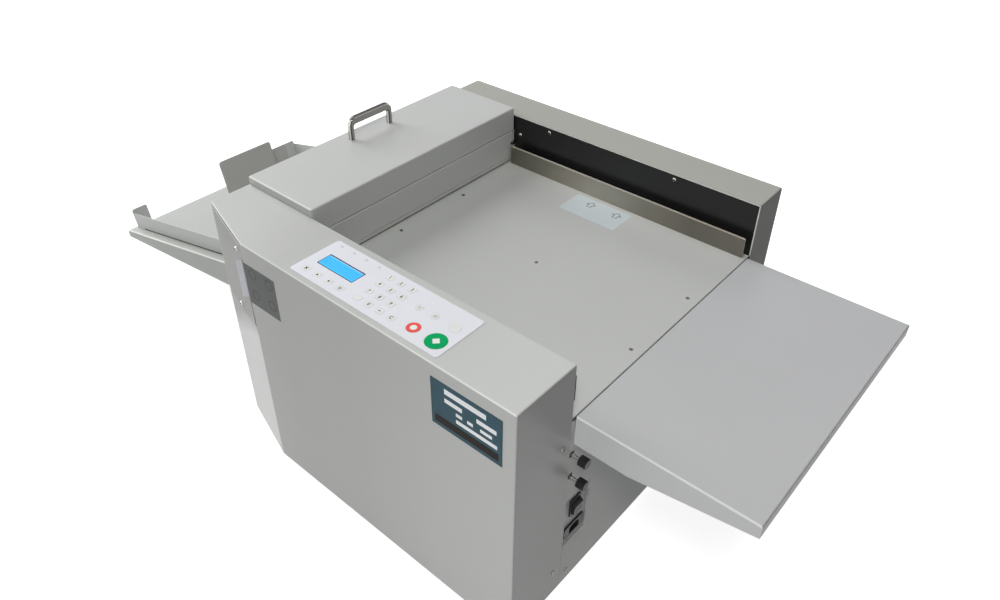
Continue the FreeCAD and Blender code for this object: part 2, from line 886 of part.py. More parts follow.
# Top cover: a folded lid with an ear at each end that hangs on the hinge pins
cover_exit_bottom = cover_bottom - cover_skirt
ear_radius = hinge_setback
lid = block(exit_x, entry_x, cover_front, cover_rear, cover_bottom, cover_top)
lid_edges = round_edges(
    lid, bend,
    lambda edge: on_level(edge, cover_top) or along(edge, vec(0, 0, 1)),
)
lid_hollow = block(exit_x + sheet, entry_x - sheet, cover_front + sheet, cover_rear - sheet,
                   cover_bottom - past, cover_top - sheet)
skirt = block(exit_x, exit_x + sheet, cover_front + bend, cover_rear - bend, cover_exit_bottom, cover_bottom)
ears = []
for ear_y in (cover_front, cover_rear - sheet):
    ear = side_slab(
        [
            (entry_x - 2 * hinge_setback, cover_bottom + bend, 0),
            (entry_x - 2 * hinge_setback, hinge_z - ear_radius, ear_radius),
            (entry_x, hinge_z - ear_radius, ear_radius),
            (entry_x, cover_bottom + bend, 0),
        ],
        ear_y, ear_y + sheet,
    )
    corner_trim = lid.cut(lid_edges)
    ears.append(ear.cut(corner_trim))
hinge_bores = [rod_y(hinge_x, hinge_z, hinge_pin_radius + running_fit, cover_front - past, cover_rear + past)]
cover = fuse_all([lid_edges.cut(lid_hollow), skirt] + ears)
save("top_cover", cut_all(cover, hinge_bores))

pin_collar = hinge_pin_radius + pin_rim
pin_end = sheet + pin_stickout
hinge_pins = []
front_pin = rod_y(hinge_x, hinge_z, hinge_pin_radius, frame_front_back, cover_front + pin_end)
front_collar = rod_y(hinge_x, hinge_z, pin_collar, frame_front, cover_front - pin_end_gap)
rear_pin = rod_y(hinge_x, hinge_z, hinge_pin_radius, cover_rear - pin_end, frame_rear_back)
rear_collar = rod_y(hinge_x, hinge_z, pin_collar, cover_rear + pin_end_gap, frame_rear)
hinge_pins.append(front_pin.fuse(front_collar).removeSplitter())
hinge_pins.append(rear_pin.fuse(rear_collar).removeSplitter())
save("cover_hinge_pins", Part.makeCompound(hinge_pins))

# Handle: a bow with a thicker grip, all edges rounded
handle_x = exit_x + handle_inset
handle_half = (handle_pitch + handle_leg) / 2
handle_inner = (handle_pitch - handle_leg) / 2
handle_top = cover_top + handle_rise
grip_under = handle_top - handle_grip
bow = end_slab(
    [
        (channel_middle - handle_half, cover_top, 0),
        (channel_middle - handle_inner, cover_top, 0),
        (channel_middle - handle_inner, grip_under, handle_inside),
        (channel_middle + handle_inner, grip_under, handle_inside),
        (channel_middle + handle_inner, cover_top, 0),
        (channel_middle + handle_half, cover_top, 0),
        (channel_middle + handle_half, handle_top, handle_shoulder),
        (channel_middle - handle_half, handle_top, handle_shoulder),
    ],
    handle_x - handle_leg / 2, handle_x + handle_leg / 2,
)
bow = round_edges(bow, handle_round, lambda edge: not on_level(edge, cover_top))
save("cover_handle", bow)

# End panels between the housings
feed_panel_y0 = channel_front + seam
feed_panel_y1 = channel_rear - seam
feed_panel_top = table_height - table_edge - seam
feed_panel = block(-sheet, 0, feed_panel_y0, feed_panel_y1, 0, feed_panel_top)
recess_y0 = recess_front
recess_y1 = recess_y0 + recess_width
recess_z0 = recess_sill
recess_z1 = recess_sill + recess_height
pocket = block(recess_back - sheet, 0, recess_y0, recess_y1 + sheet, recess_z0 - sheet, recess_z1 + sheet)
pocket_hollow = block(recess_back, past, recess_y0 + sheet, recess_y1, recess_z0, recess_z1)
feed_panel = feed_panel.fuse(pocket).cut(pocket_hollow).removeSplitter()
adjuster_half = adjuster_hole / 2
adjuster_heights = {"upper": adjuster_upper, "lower": adjuster_lower}
panel_cuts = []
for height in adjuster_heights.values():
    panel_cuts.append(block(-sheet - past, past, adjuster_y - adjuster_half + seam, adjuster_y + adjuster_half,
                            height - adjuster_half, height + adjuster_half))

inlet_z = recess_z0 + inlet_rise
switch_z = recess_z0 + switch_rise
inlet_body_half = (inlet_mouth_length + 2 * sheet) / 2
inlet_body_rise = (inlet_mouth_height + 2 * sheet) / 2
inlet_hole = block(recess_back - sheet - past, recess_back + past,
                   recess_middle - inlet_body_half - key_gap, recess_middle + inlet_body_half + key_gap,
                   inlet_z - inlet_body_rise - key_gap, inlet_z + inlet_body_rise + key_gap)
switch_body_half = rocker_width / 2 + sheet
switch_body_rise = rocker_radius + sheet
switch_hole = block(recess_back - sheet - past, recess_back + past,
                    recess_middle - switch_body_half - key_gap, recess_middle + switch_body_half + key_gap,
                    switch_z - switch_body_rise - key_gap, switch_z + switch_body_rise + key_gap)
feed_panel = cut_all(feed_panel, panel_cuts + [inlet_hole, switch_hole] + screw_bores)
save("feed_end_panel", feed_panel)

sill_top = table_height - exit_sill_drop
exit_panel = block(exit_x, exit_x + sheet, feed_panel_y0, feed_panel_y1, 0, sill_top)
sill = block(exit_x, exit_x + exit_sill_lip, feed_panel_y0, feed_panel_y1, sill_top - sheet, sill_top)
exit_panel = exit_panel.fuse(sill).removeSplitter()
exit_panel = round_edges(
    exit_panel, fold, lambda edge: on_level(edge, sill_top) and edge.BoundBox.XMax < exit_x + sheet / 2
)
save("exit_end_panel", cut_all(exit_panel, screw_bores))

# Mains inlet and rocker switch in the recess
flange = end_slab(
    rectangle(recess_middle - inlet_length / 2, recess_middle + inlet_length / 2,
              inlet_z - inlet_height / 2, inlet_z + inlet_height / 2, inlet_corner),
    recess_back, recess_back + inlet_flange,
)
mouth_floor = recess_back + inlet_flange - inlet_depth
socket = block(mouth_floor - inlet_back, recess_back,
               recess_middle - inlet_body_half, recess_middle + inlet_body_half,
               inlet_z - inlet_body_rise, inlet_z + inlet_body_rise)
mouth_half = inlet_mouth_length / 2
mouth_rise = inlet_mouth_height / 2
mouth = end_slab(
    [
        (recess_middle - mouth_half, inlet_z - mouth_rise, mouth_corner),
        (recess_middle + mouth_half, inlet_z - mouth_rise, mouth_corner),
        (recess_middle + mouth_half, inlet_z + mouth_rise - mouth_chamfer, 0),
        (recess_middle + mouth_half - mouth_chamfer, inlet_z + mouth_rise, 0),
        (recess_middle - mouth_half + mouth_chamfer, inlet_z + mouth_rise, 0),
        (recess_middle - mouth_half, inlet_z + mouth_rise - mouth_chamfer, 0),
    ],
    mouth_floor, recess_back + inlet_flange + past,
)
inlet = flange.fuse(socket).cut(mouth)
for step, offset in ((-1, -contact_offset), (0, contact_offset), (1, -contact_offset)):
    contact_y = recess_middle + step * contact_pitch
    contact_z = inlet_z + offset
    inlet = inlet.fuse(block(mouth_floor - past, mouth_floor + contact_length,
                             contact_y - contact_thickness / 2, contact_y + contact_thickness / 2,
                             contact_z - contact_height / 2, contact_z + contact_height / 2))
save("power_inlet", inlet.removeSplitter())

bezel_half = switch_width / 2
bezel_rise = switch_length / 2
bezel = end_slab(
    rectangle(recess_middle - bezel_half, recess_middle + bezel_half,
              switch_z - bezel_rise, switch_z + bezel_rise, switch_corner),
    recess_back, recess_back + switch_bezel,
)
switch_box = block(recess_back - switch_body, recess_back,
                   recess_middle - switch_body_half, recess_middle + switch_body_half,
                   switch_z - switch_body_rise, switch_z + switch_body_rise)
rocker_room = block(recess_back - switch_body + sheet, recess_back + switch_bezel + past,
                    recess_middle - rocker_width / 2 - guide_gap, recess_middle + rocker_width / 2 + guide_gap,
                    switch_z - rocker_radius - guide_gap, switch_z + rocker_radius + guide_gap)
save("power_switch", bezel.fuse(switch_box).cut(rocker_room).removeSplitter())

rocker_x = recess_back - rocker_sink
rocker_edge = rocker_face + rocker_radius * math.tan(math.radians(rocker_tilt))
rocker = side_slab(
    [
        (rocker_x - rocker_back, switch_z - rocker_radius, 0),
        (rocker_x - rocker_back, switch_z + rocker_radius, 0),
        (rocker_x + rocker_edge, switch_z + rocker_radius, 0),
        (rocker_x + rocker_face, switch_z, 0),
        (rocker_x + rocker_edge, switch_z - rocker_radius, 0),
    ],
    recess_middle - rocker_width / 2, recess_middle + rocker_width / 2,
)
rocker_drum = rod_y(rocker_x, switch_z, rocker_radius,
                    recess_middle - rocker_width / 2, recess_middle + rocker_width / 2)
rocker = rocker.common(rocker_drum)
rocker.rotate(vec(rocker_x, 0, switch_z), vec(0, 1, 0), rocker_tilt)
save("switch_rocker", rocker)

# Adjusting screws with fluted knobs, held in a block on the front frame
adjuster_block_x1 = -adjuster_depth + adjuster_block_length
block_half = adjuster_inset + frame_recess
adjuster_block = block(-adjuster_depth, adjuster_block_x1, frame_front, adjuster_y + block_half,
                       adjuster_lower - adjuster_block_margin, adjuster_upper + adjuster_block_margin)
for side, height in adjuster_heights.items():
    rod_bore = rod_x(adjuster_y, height, adjuster_rod_radius + running_fit, -adjuster_depth - past, past)
    adjuster_block = adjuster_block.cut(rod_bore)
    rod = rod_x(adjuster_y, height, adjuster_rod_radius, -adjuster_depth, adjuster_reach)
    save("adjuster_rod_" + side, rod)
    knob = rod_x(adjuster_y, height, knob_radius, adjuster_reach, adjuster_reach + knob_length)
    knob = bevel_edges(knob, knob_edge, lambda edge: edge.BoundBox.XMin > adjuster_reach + knob_length / 2)
    flutes = []
    for step in range(knob_flutes):
        angle = 2 * math.pi * step / knob_flutes
        flute_y = adjuster_y + knob_radius * math.cos(angle)
        flute_z = height + knob_radius * math.sin(angle)
        flutes.append(rod_x(flute_y, flute_z, knob_flute_radius, adjuster_reach - past,
                            adjuster_reach + knob_length + past))
    save("adjuster_knob_" + side, cut_all(knob, flutes))
save("adjuster_block", adjuster_block)

# Power supply on the base pan
supply_x1 = -supply_inset
supply_y0 = channel_front + supply_setback
supply_top = pan_sheet + supply_height
supply = block(supply_x1 - supply_length, supply_x1, supply_y0, supply_y0 + supply_depth, pan_sheet, supply_top)
supply = round_edges(
    supply, supply_round, lambda edge: along(edge, vec(0, 1, 0)) and on_level(edge, supply_top)
)
vents = []
for step in range(vent_count):
    vent_x = supply_x1 - supply_length / 2 + (step - (vent_count - 1) / 2) * vent_pitch
    vents.append(block(vent_x - vent_width / 2, vent_x + vent_width / 2, supply_y0 + vent_margin,
                       supply_y0 + supply_depth - vent_margin, supply_top - vent_depth, supply_top + past))
save("power_supply", cut_all(supply, vents))

# Extension tray: a folded shelf with side flanges that taper to the free end
extension_side = [
    (0, table_height, 0),
    (extension_reach, table_height, 0),
    (extension_reach, table_height - extension_end_drop, 0),
    (extension_straight, table_height - extension_root_drop, 0),
    (0, table_height - extension_root_drop, 0),
]
extension = side_slab(extension_side, tray_front, tray_rear)
extension = round_edges(
    extension, bend,
    lambda edge: on_level(edge, table_height) and edge.BoundBox.XMax > sheet,
)
extension_hollow = block(sheet, extension_reach - sheet, tray_front + sheet, tray_rear - sheet,
                         table_height - extension_root_drop - past, table_height - sheet)
save("extension_tray", extension.cut(extension_hollow))

# Exit tray: slopes down and away, open towards the machine
exit_end = exit_x - exit_reach
exit_end_z = exit_root_height - exit_reach * slope
exit_mid = exit_x - exit_mid_reach
exit_mid_z = exit_root_height - exit_mid_reach * slope
exit_side = [
    (exit_x, exit_root_height, 0),
    (exit_x, exit_root_height - exit_root_drop, 0),
    (exit_mid, exit_mid_z - exit_mid_drop, 0),
    (exit_end, exit_end_z - exit_end_drop, exit_end_round),
    (exit_end, exit_end_z, 0),
]
exit_tray = side_slab(exit_side, tray_front, tray_rear)


def tray_bend(edge):
    top = edge.BoundBox.Center
    level = exit_root_height - (exit_x - top.x) * slope
    on_top = abs(top.z - level) < 1e-3
    return on_top and top.x < exit_x - sheet


exit_tray = round_edges(exit_tray, bend, tray_bend)
skin = sheet / math.cos(math.radians(exit_slope))
exit_hollow_floor = exit_end_z - exit_end_drop - exit_root_drop
exit_hollow = side_slab(
    [
        (exit_x + past, exit_root_height + past * slope - skin, 0),
        (exit_x + past, exit_hollow_floor, 0),
        (exit_end + sheet, exit_hollow_floor, 0),
        (exit_end + sheet, exit_end_z + sheet * slope - skin, 0),
    ],
    tray_front + sheet, tray_rear - sheet,
)
save("exit_tray", exit_tray.cut(exit_hollow))


# Guides and stops are drawn on a level tray, then tipped with the slope
def on_slope(shape):
    tipped = shape.copy()
    tipped.rotate(tray_root, vec(0, 1, 0), -exit_slope)
    return tipped


def tray_x(distance):
    return exit_x - distance


tray_level = exit_root_height + slide_gap
guide_lean = (guide_tab_height + 2 * slide_gap) * slope + sheet


def sheet_guide(rail_y, inward):
    x0 = tray_x(slope_length - guide_lean)
    x1 = tray_x(guide_start)
    rail_back = rail_y + inward * sheet
    foot_end = rail_y + inward * guide_foot
    tab_end = rail_y + inward * guide_tab
    rail = block(x0, x1, min(rail_y, rail_back), max(rail_y, rail_back), tray_level, tray_level + guide_height)
    foot = block(x0, x1, min(rail_y, foot_end), max(rail_y, foot_end), tray_level, tray_level + sheet)
    tab = end_slab(
        [
            (rail_y, tray_level, 0),
            (tab_end, tray_level, 0),
            (tab_end, tray_level + guide_tab_height, guide_corner),
            (rail_y, tray_level + guide_tab_height, guide_corner),
        ],
        x0, x0 + sheet,
    )
    return on_slope(fuse_all([rail, foot, tab]))


save("exit_guide_front", sheet_guide(tray_front + front_guide_inset, 1))
save("exit_guide_rear", sheet_guide(tray_rear - rear_guide_inset, -1))


def sheet_stop(place, height, shift):
    y0 = channel_middle - stop_width / 2 + shift
    y1 = y0 + stop_width
    x1 = tray_x(place)
    plate = end_slab(
        [
            (y0, tray_level, 0),
            (y1, tray_level, 0),
            (y1, tray_level + height, stop_corner),
            (y0, tray_level + height, stop_corner),
        ],
        x1 - stop_sheet, x1,
    )
    foot = plan_slab(
        [
            (x1, y0, 0),
            (x1, y1, 0),
            (x1 - stop_foot, y1, stop_corner),
            (x1 - stop_foot, y0, stop_corner),
        ],
        tray_level, tray_level + stop_sheet,
    )
    return on_slope(plate.fuse(foot).removeSplitter())


save("exit_stop_tall", sheet_stop(tall_stop_place, tall_stop_height, 0))
save("exit_stop_low", sheet_stop(low_stop_place, low_stop_height, low_stop_shift))


# Rollers: rubber on a steel core with journals, the lower ones carry a belt pulley
def pulley(x, z, bore):
    core = rod_y(x, z, pulley_radius, pulley_front, pulley_rear)
    near = rod_y(x, z, pulley_radius + pulley_flange, pulley_front, pulley_front + pulley_rim)
    far = rod_y(x, z, pulley_radius + pulley_flange, pulley_rear - pulley_rim, pulley_rear)
    whole = fuse_all([core, near, far])
    if bore:
        whole = whole.cut(rod_y(x, z, bore, pulley_front - past, pulley_rear + past))
    return whole


def roller(x, z, radius, driven):
    y0 = frame_front + roller_end_gap
    y1 = frame_rear - roller_end_gap
    shaft_end = pulley_rear if driven else frame_rear_back
    rubber = bevel_edges(rod_y(x, z, radius, y0, y1), roller_edge, lambda edge: not along(edge, vec(0, 1, 0)))
    pieces = [
        rod_y(x, z, journal_radius, frame_front_back, shaft_end),
        rod_y(x, z, roller_core_radius, frame_front + core_end_gap, frame_rear - core_end_gap),
        rubber,
    ]
    if driven:
        pieces.append(pulley(x, z, 0))
    return fuse_all(pieces)


save("lower_feed_roller", roller(feed_roller_x, lower_roller_z, lower_roller_radius, True))
save("upper_feed_roller", roller(feed_roller_x, upper_roller_z, upper_roller_radius, False))
save("lower_exit_roller", roller(exit_roller_x, lower_roller_z, lower_roller_radius, True))
save("upper_exit_roller", roller(exit_roller_x, upper_roller_z, upper_roller_radius, False))

# Feed motor on the rear frame, its pulley and the belt round the three pulleys
motor_half = motor_size / 2
motor_body = side_slab(
    rectangle(motor_x - motor_half, motor_x + motor_half, motor_z - motor_half, motor_z + motor_half,
              motor_corner),
    frame_rear - motor_length, frame_rear,
)
motor_nose = rod_y(motor_x, motor_z, motor_pilot_radius, frame_rear, frame_rear + motor_pilot)
motor_shaft = rod_y(motor_x, motor_z, motor_shaft_radius, frame_rear, pulley_rear)
save("feed_motor", fuse_all([motor_body, motor_nose, motor_shaft]))
save("motor_pulley", pulley(motor_x, motor_z, motor_shaft_radius + running_fit))

belt_y0 = pulley_front + belt_side_gap
belt_y1 = pulley_rear - belt_side_gap
belt_line = Part.Wire(Part.makePolygon([
    vec(feed_roller_x, belt_y0, lower_roller_z),
    vec(exit_roller_x, belt_y0, lower_roller_z),
    vec(motor_x, belt_y0, motor_z),
    vec(feed_roller_x, belt_y0, lower_roller_z),
]))
belt_inside = Part.Face(belt_line.makeOffset2D(pulley_radius + belt_gap))
belt_outside = Part.Face(belt_line.makeOffset2D(pulley_radius + belt_gap + belt_thickness))
save("feed_belt", belt_outside.cut(belt_inside).extrude(vec(0, belt_y1 - belt_y0, 0)))

# Creasing anvil, blade and the beam that carries the blade
anvil = block(crease_x - anvil_width / 2, crease_x + anvil_width / 2, frame_front, frame_rear,
              table_height - anvil_height, table_height)
groove = side_slab(
    [
        (crease_x - anvil_groove / 2, table_height + past, 0),
        (crease_x - anvil_groove / 2, table_height - anvil_groove_depth, anvil_groove_round),
        (crease_x + anvil_groove / 2, table_height - anvil_groove_depth, anvil_groove_round),
        (crease_x + anvil_groove / 2, table_height + past, 0),
    ],
    frame_front - past, frame_rear + past,
)
save("crease_anvil", anvil.cut(groove))

blade_half = blade_thickness / 2
blade_tip = table_height + blade_lift
blade_top = blade_beam_bottom + blade_slot
blade = side_slab(
    [
        (crease_x - blade_half, blade_top, 0),
        (crease_x - blade_half, blade_tip, blade_half),
        (crease_x + blade_half, blade_tip, blade_half),
        (crease_x + blade_half, blade_top, 0),
    ],
    frame_front + blade_end_gap, frame_rear - blade_end_gap,
)
save("crease_blade", blade)
beam_bar = block(crease_x - blade_beam_width / 2, crease_x + blade_beam_width / 2,
                 front_bar_inner, rear_bar_inner, blade_beam_bottom, blade_beam_top)
blade_room = block(crease_x - blade_half, crease_x + blade_half, front_bar_inner - past, rear_bar_inner + past,
                   blade_beam_bottom - past, blade_top)
save("blade_beam", beam_bar.cut(blade_room))

# Pull bars with yokes round the eccentrics of the crank shaft
yoke_half = eccentric_radius + crank_throw + yoke_gap
yoke_rise = eccentric_radius + yoke_gap
yoke_z = crank_height + crank_throw
bar_head = blade_beam_width / 2 + pull_bar_shoulder
bar_neck = pull_bar_neck / 2
bar_foot = yoke_half + yoke_wall
bar_half = [
    (bar_foot, yoke_z - yoke_rise - yoke_wall),
    (bar_foot, yoke_z + yoke_rise + yoke_wall),
    (bar_neck, yoke_z + yoke_rise + 2 * yoke_wall),
    (bar_neck, blade_beam_bottom - pull_bar_taper),
    (bar_head, blade_beam_bottom),
    (bar_head, blade_beam_top),
]
bar_outline = [(crease_x + half, level, pull_bar_round) for half, level in bar_half]
bar_outline += [(crease_x - half, level, pull_bar_round) for half, level in reversed(bar_half)]
yoke_window = rectangle(crease_x - yoke_half, crease_x + yoke_half,
                        yoke_z - yoke_rise, yoke_z + yoke_rise, yoke_round)
bars = []
for bar_y in (front_bar_outer, rear_bar_inner):
    bar = side_slab(bar_outline, bar_y, bar_y + pull_bar)
    bars.append(bar.cut(side_slab(yoke_window, bar_y - past, bar_y + pull_bar + past)))
save("pull_bars", Part.makeCompound(bars))

# Crank shaft with an eccentric outside each side frame
front_disc_y = frame_front_back - eccentric_gap - eccentric_width
rear_disc_y = frame_rear_back + eccentric_gap
gearbox_rear = front_disc_y - gearbox_gap
gearbox_front = gearbox_rear - gearbox_length
crank_end_radius = crank_radius - crank_step
crank_end_y = gearbox_front + gearbox_wall + crank_end_gap
eccentric_z = crank_height + crank_throw
crank = fuse_all([
    rod_y(crease_x, crank_height, crank_radius, front_disc_y, rear_disc_y + eccentric_width),
    rod_y(crease_x, crank_height, crank_end_radius, crank_end_y, front_disc_y),
    rod_y(crease_x, eccentric_z, eccentric_radius, front_disc_y, front_disc_y + eccentric_width),
    rod_y(crease_x, eccentric_z, eccentric_radius, rear_disc_y, rear_disc_y + eccentric_width),
])
save("crank_shaft", crank)

# Creasing motor and its gearbox on four posts
gear_half = gearbox_size / 2
gearbox = side_slab(
    rectangle(crease_x - gear_half, crease_x + gear_half, crank_height - gear_half, crank_height + gear_half,
              gearbox_corner),
    gearbox_front, gearbox_rear,
)
motor_end = gearbox_front - crease_motor_length
motor_can = rod_y(crease_x, crank_height, crease_motor_radius, motor_end, gearbox_front)
motor_can = bevel_edges(
    motor_can, crease_motor_edge, lambda edge: edge.BoundBox.YMax < gearbox_front - crease_motor_edge
)
gear_bore = rod_y(crease_x, crank_height, crank_end_radius + running_fit, gearbox_front + gearbox_wall,
                  gearbox_rear + past)
gear_pieces = [gearbox, motor_can]
for side_x in (-gearbox_post, gearbox_post):
    for side_z in (-gearbox_post, gearbox_post):
        gear_pieces.append(rod_y(crease_x + side_x, crank_height + side_z, gearbox_post_radius,
                                 gearbox_rear, frame_front_back))
save("crease_motor", fuse_all(gear_pieces).cut(gear_bore))
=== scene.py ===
import json
import math
from functools import partial
import bmesh
import bpy
from mathutils import Euler, Matrix, Vector

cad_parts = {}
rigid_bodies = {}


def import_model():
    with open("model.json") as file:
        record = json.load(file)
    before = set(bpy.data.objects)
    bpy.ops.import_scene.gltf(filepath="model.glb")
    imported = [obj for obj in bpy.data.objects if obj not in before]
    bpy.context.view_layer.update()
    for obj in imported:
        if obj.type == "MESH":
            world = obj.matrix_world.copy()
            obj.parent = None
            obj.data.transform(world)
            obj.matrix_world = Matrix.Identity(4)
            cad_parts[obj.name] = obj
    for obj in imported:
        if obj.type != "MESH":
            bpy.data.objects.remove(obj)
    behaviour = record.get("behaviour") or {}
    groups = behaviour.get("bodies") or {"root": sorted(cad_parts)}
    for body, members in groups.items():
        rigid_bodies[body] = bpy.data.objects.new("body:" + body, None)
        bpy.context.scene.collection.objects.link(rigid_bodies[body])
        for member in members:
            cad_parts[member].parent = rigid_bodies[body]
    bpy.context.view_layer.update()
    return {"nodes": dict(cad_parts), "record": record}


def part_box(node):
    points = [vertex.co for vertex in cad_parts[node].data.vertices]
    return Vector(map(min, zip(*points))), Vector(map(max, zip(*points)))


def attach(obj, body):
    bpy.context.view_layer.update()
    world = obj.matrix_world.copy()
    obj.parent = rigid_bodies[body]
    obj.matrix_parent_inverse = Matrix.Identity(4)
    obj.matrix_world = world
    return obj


for leftover in list(bpy.data.objects):
    bpy.data.objects.remove(leftover)
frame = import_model()
nodes = frame["nodes"]
mm = 0.001
print("frame loaded:", len(nodes), "nodes")

# Corners of the machine that the thin pieces are measured from
housingLow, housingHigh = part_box("front_housing")
feedEnd = housingHigh.x
frontFace = housingLow.y
sheetFoot = housingLow.z
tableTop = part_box("feed_table")[1].z


def addObject(name, data):
    made = bpy.data.objects.new(name, data)
    bpy.context.scene.collection.objects.link(made)
    return made


# Camera at the photo's viewing angle
cameraView = dict(azimuth=41.404, elevation=35.826, roll=-0.126, place=(0.9162, -0.8782, 1.1763),
                  lens=29.862, sensor=36.0, shiftX=0.01455, shiftY=-0.03192, nearest=0.01)


def makeCamera(view):
    data = bpy.data.cameras.new("photoCamera")
    data.sensor_width = view["sensor"]
    data.lens = view["lens"]
    data.shift_x = view["shiftX"]
    data.shift_y = view["shiftY"]
    data.clip_start = view["nearest"]
    camera = addObject("photoCamera", data)
    turn = Euler((math.radians(90 - view["elevation"]), 0, math.radians(view["azimuth"]))).to_matrix()
    roll = Matrix.Rotation(math.radians(view["roll"]), 3, "Z")
    camera.matrix_world = Matrix.Translation(view["place"]) @ (turn @ roll).to_4x4()
    bpy.context.scene.camera = camera


makeCamera(cameraView)
print("camera set")


# Shader helpers
def addNode(tree, kind, **values):
    made = tree.nodes.new(kind)
    for key, value in values.items():
        setattr(made, key, value)
    return made


def feed(tree, value, socket):    # links a socket, or sets a plain value
    if isinstance(value, bpy.types.NodeSocket):
        tree.links.new(value, socket)
    else:
        socket.default_value = value


def noise(tree, scale, detail, place):
    made = addNode(tree, "ShaderNodeTexNoise")
    feed(tree, place, made.inputs["Vector"])
    feed(tree, scale, made.inputs["Scale"])
    feed(tree, detail, made.inputs["Detail"])
    return made.outputs["Fac"]


def remap(tree, value, low, high, fromLow=0.3, fromHigh=0.7):
    made = addNode(tree, "ShaderNodeMapRange")
    labels = ("Value", "From Min", "From Max", "To Min", "To Max")
    for label, bound in zip(labels, (value, fromLow, fromHigh, low, high)):
        feed(tree, bound, made.inputs[label])
    return made.outputs["Result"]


def mathNode(tree, operation, first, second):
    made = addNode(tree, "ShaderNodeMath", operation=operation)
    feed(tree, first, made.inputs[0])
    feed(tree, second, made.inputs[1])
    return made.outputs[0]


def swing(tree, value, spread, fromLow=0.3, fromHigh=0.7):    # a factor that varies round one
    darker = mathNode(tree, "SUBTRACT", 1.0, spread)
    lighter = mathNode(tree, "ADD", 1.0, spread)
    return remap(tree, value, darker, lighter, fromLow, fromHigh)


def scaleColour(tree, colour, tone):    # the tone is a value or a grey
    made = addNode(tree, "ShaderNodeVectorMath", operation="MULTIPLY")
    feed(tree, colour, made.inputs[0])
    feed(tree, tone, made.inputs[1])
    return made.outputs[0]


def coordinate(tree, kind):
    return addNode(tree, "ShaderNodeTexCoord").outputs[kind]


def axesOf(tree, vector):
    made = addNode(tree, "ShaderNodeSeparateXYZ")
    feed(tree, vector, made.inputs[0])
    return made.outputs


def opaque(colour):
    return (*colour, 1)


def toneRamp(tree, value, stops):
    made = addNode(tree, "ShaderNodeValToRGB")
    ramp = made.color_ramp.elements
    while len(ramp) < len(stops):
        ramp.new(0.5)
    for element, (place, tone) in zip(ramp, stops):
        element.position = place
        element.color = opaque((tone,) * 3)
    feed(tree, value, made.inputs["Fac"])
    return made.outputs["Color"]


# Shared surface effects
grainOutputs = {"Color": "NodeSocketColor", "Roughness": "NodeSocketFloat", "Height": "NodeSocketFloat"}


def socketKind(value):
    if isinstance(value, float):
        return "NodeSocketFloat"
    return "NodeSocketColor" if len(value) == 4 else "NodeSocketVector"


def startGroup(name, inputs, outputs):
    group = bpy.data.node_groups.new(name, "ShaderNodeTree")
    for label, value in inputs.items():
        socket = group.interface.new_socket(label, in_out="INPUT", socket_type=socketKind(value))
        socket.default_value = value
    for label, kind in outputs.items():
        group.interface.new_socket(label, in_out="OUTPUT", socket_type=kind)
    return group, addNode(group, "NodeGroupInput").outputs, addNode(group, "NodeGroupOutput").inputs


def endGrain(group, out, colour, roughness, height):
    feed(group, colour, out["Color"])
    feed(group, roughness, out["Roughness"])
    feed(group, height, out["Height"])
    return group


def makePaintGrain():    # cloudy tone, fine specks and orange peel of powder paint
    group, given, out = startGroup("paintGrain", {
        "Paint": (0.5, 0.5, 0.5, 1), "Mottle": 0.02, "Peel": 900.0, "Gloss Low": 0.4, "Gloss High": 0.5,
    }, grainOutputs)
    place = coordinate(group, "Object")
    cloud = noise(group, 4.0, 3.0, place)
    speck = noise(group, 2400.0, 1.0, place)
    peel = noise(group, given["Peel"], 2.0, place)
    tone = mathNode(group, "MULTIPLY", swing(group, cloud, given["Mottle"]),
                    swing(group, speck, given["Mottle"], 0.2, 0.8))
    gloss = remap(group, cloud, given["Gloss Low"], given["Gloss High"])
    relief = mathNode(group, "ADD", peel, mathNode(group, "MULTIPLY", speck, 0.4))
    return endGrain(group, out, scaleColour(group, given["Paint"], tone), gloss, relief)


def makeBrushing():    # drawn-out streaks of brushed or turned metal
    group, given, out = startGroup("brushing", {
        "Metal": (0.5, 0.5, 0.5, 1), "Stretch": (4.0, 900.0, 900.0), "Streak": 0.12,
        "Gloss Low": 0.25, "Gloss High": 0.42,
    }, grainOutputs)
    place = coordinate(group, "Object")
    drawn = addNode(group, "ShaderNodeMapping")
    feed(group, place, drawn.inputs["Vector"])
    feed(group, given["Stretch"], drawn.inputs["Scale"])
    hair = noise(group, 1.0, 4.0, drawn.outputs["Vector"])
    cloud = noise(group, 9.0, 2.0, place)
    tone = mathNode(group, "MULTIPLY", swing(group, hair, given["Streak"]), remap(group, cloud, 0.94, 1.05))
    gloss = remap(group, hair, given["Gloss Low"], given["Gloss High"])
    return endGrain(group, out, scaleColour(group, given["Metal"], tone), gloss, hair)


def makeMouldGrain():    # pebbled skin of moulded plastic and rubber
    group, given, out = startGroup("mouldGrain", {
        "Plastic": (0.02, 0.02, 0.02, 1), "Grain": 2600.0, "Gloss Low": 0.35, "Gloss High": 0.55,
    }, grainOutputs)
    place = coordinate(group, "Object")
    cell = addNode(group, "ShaderNodeTexVoronoi")
    feed(group, place, cell.inputs["Vector"])
    feed(group, given["Grain"], cell.inputs["Scale"])
    cloud = noise(group, 60.0, 3.0, place)
    colour = scaleColour(group, given["Plastic"], remap(group, cloud, 0.85, 1.2))
    gloss = remap(group, cloud, given["Gloss Low"], given["Gloss High"])
    return endGrain(group, out, colour, gloss, cell.outputs["Distance"])


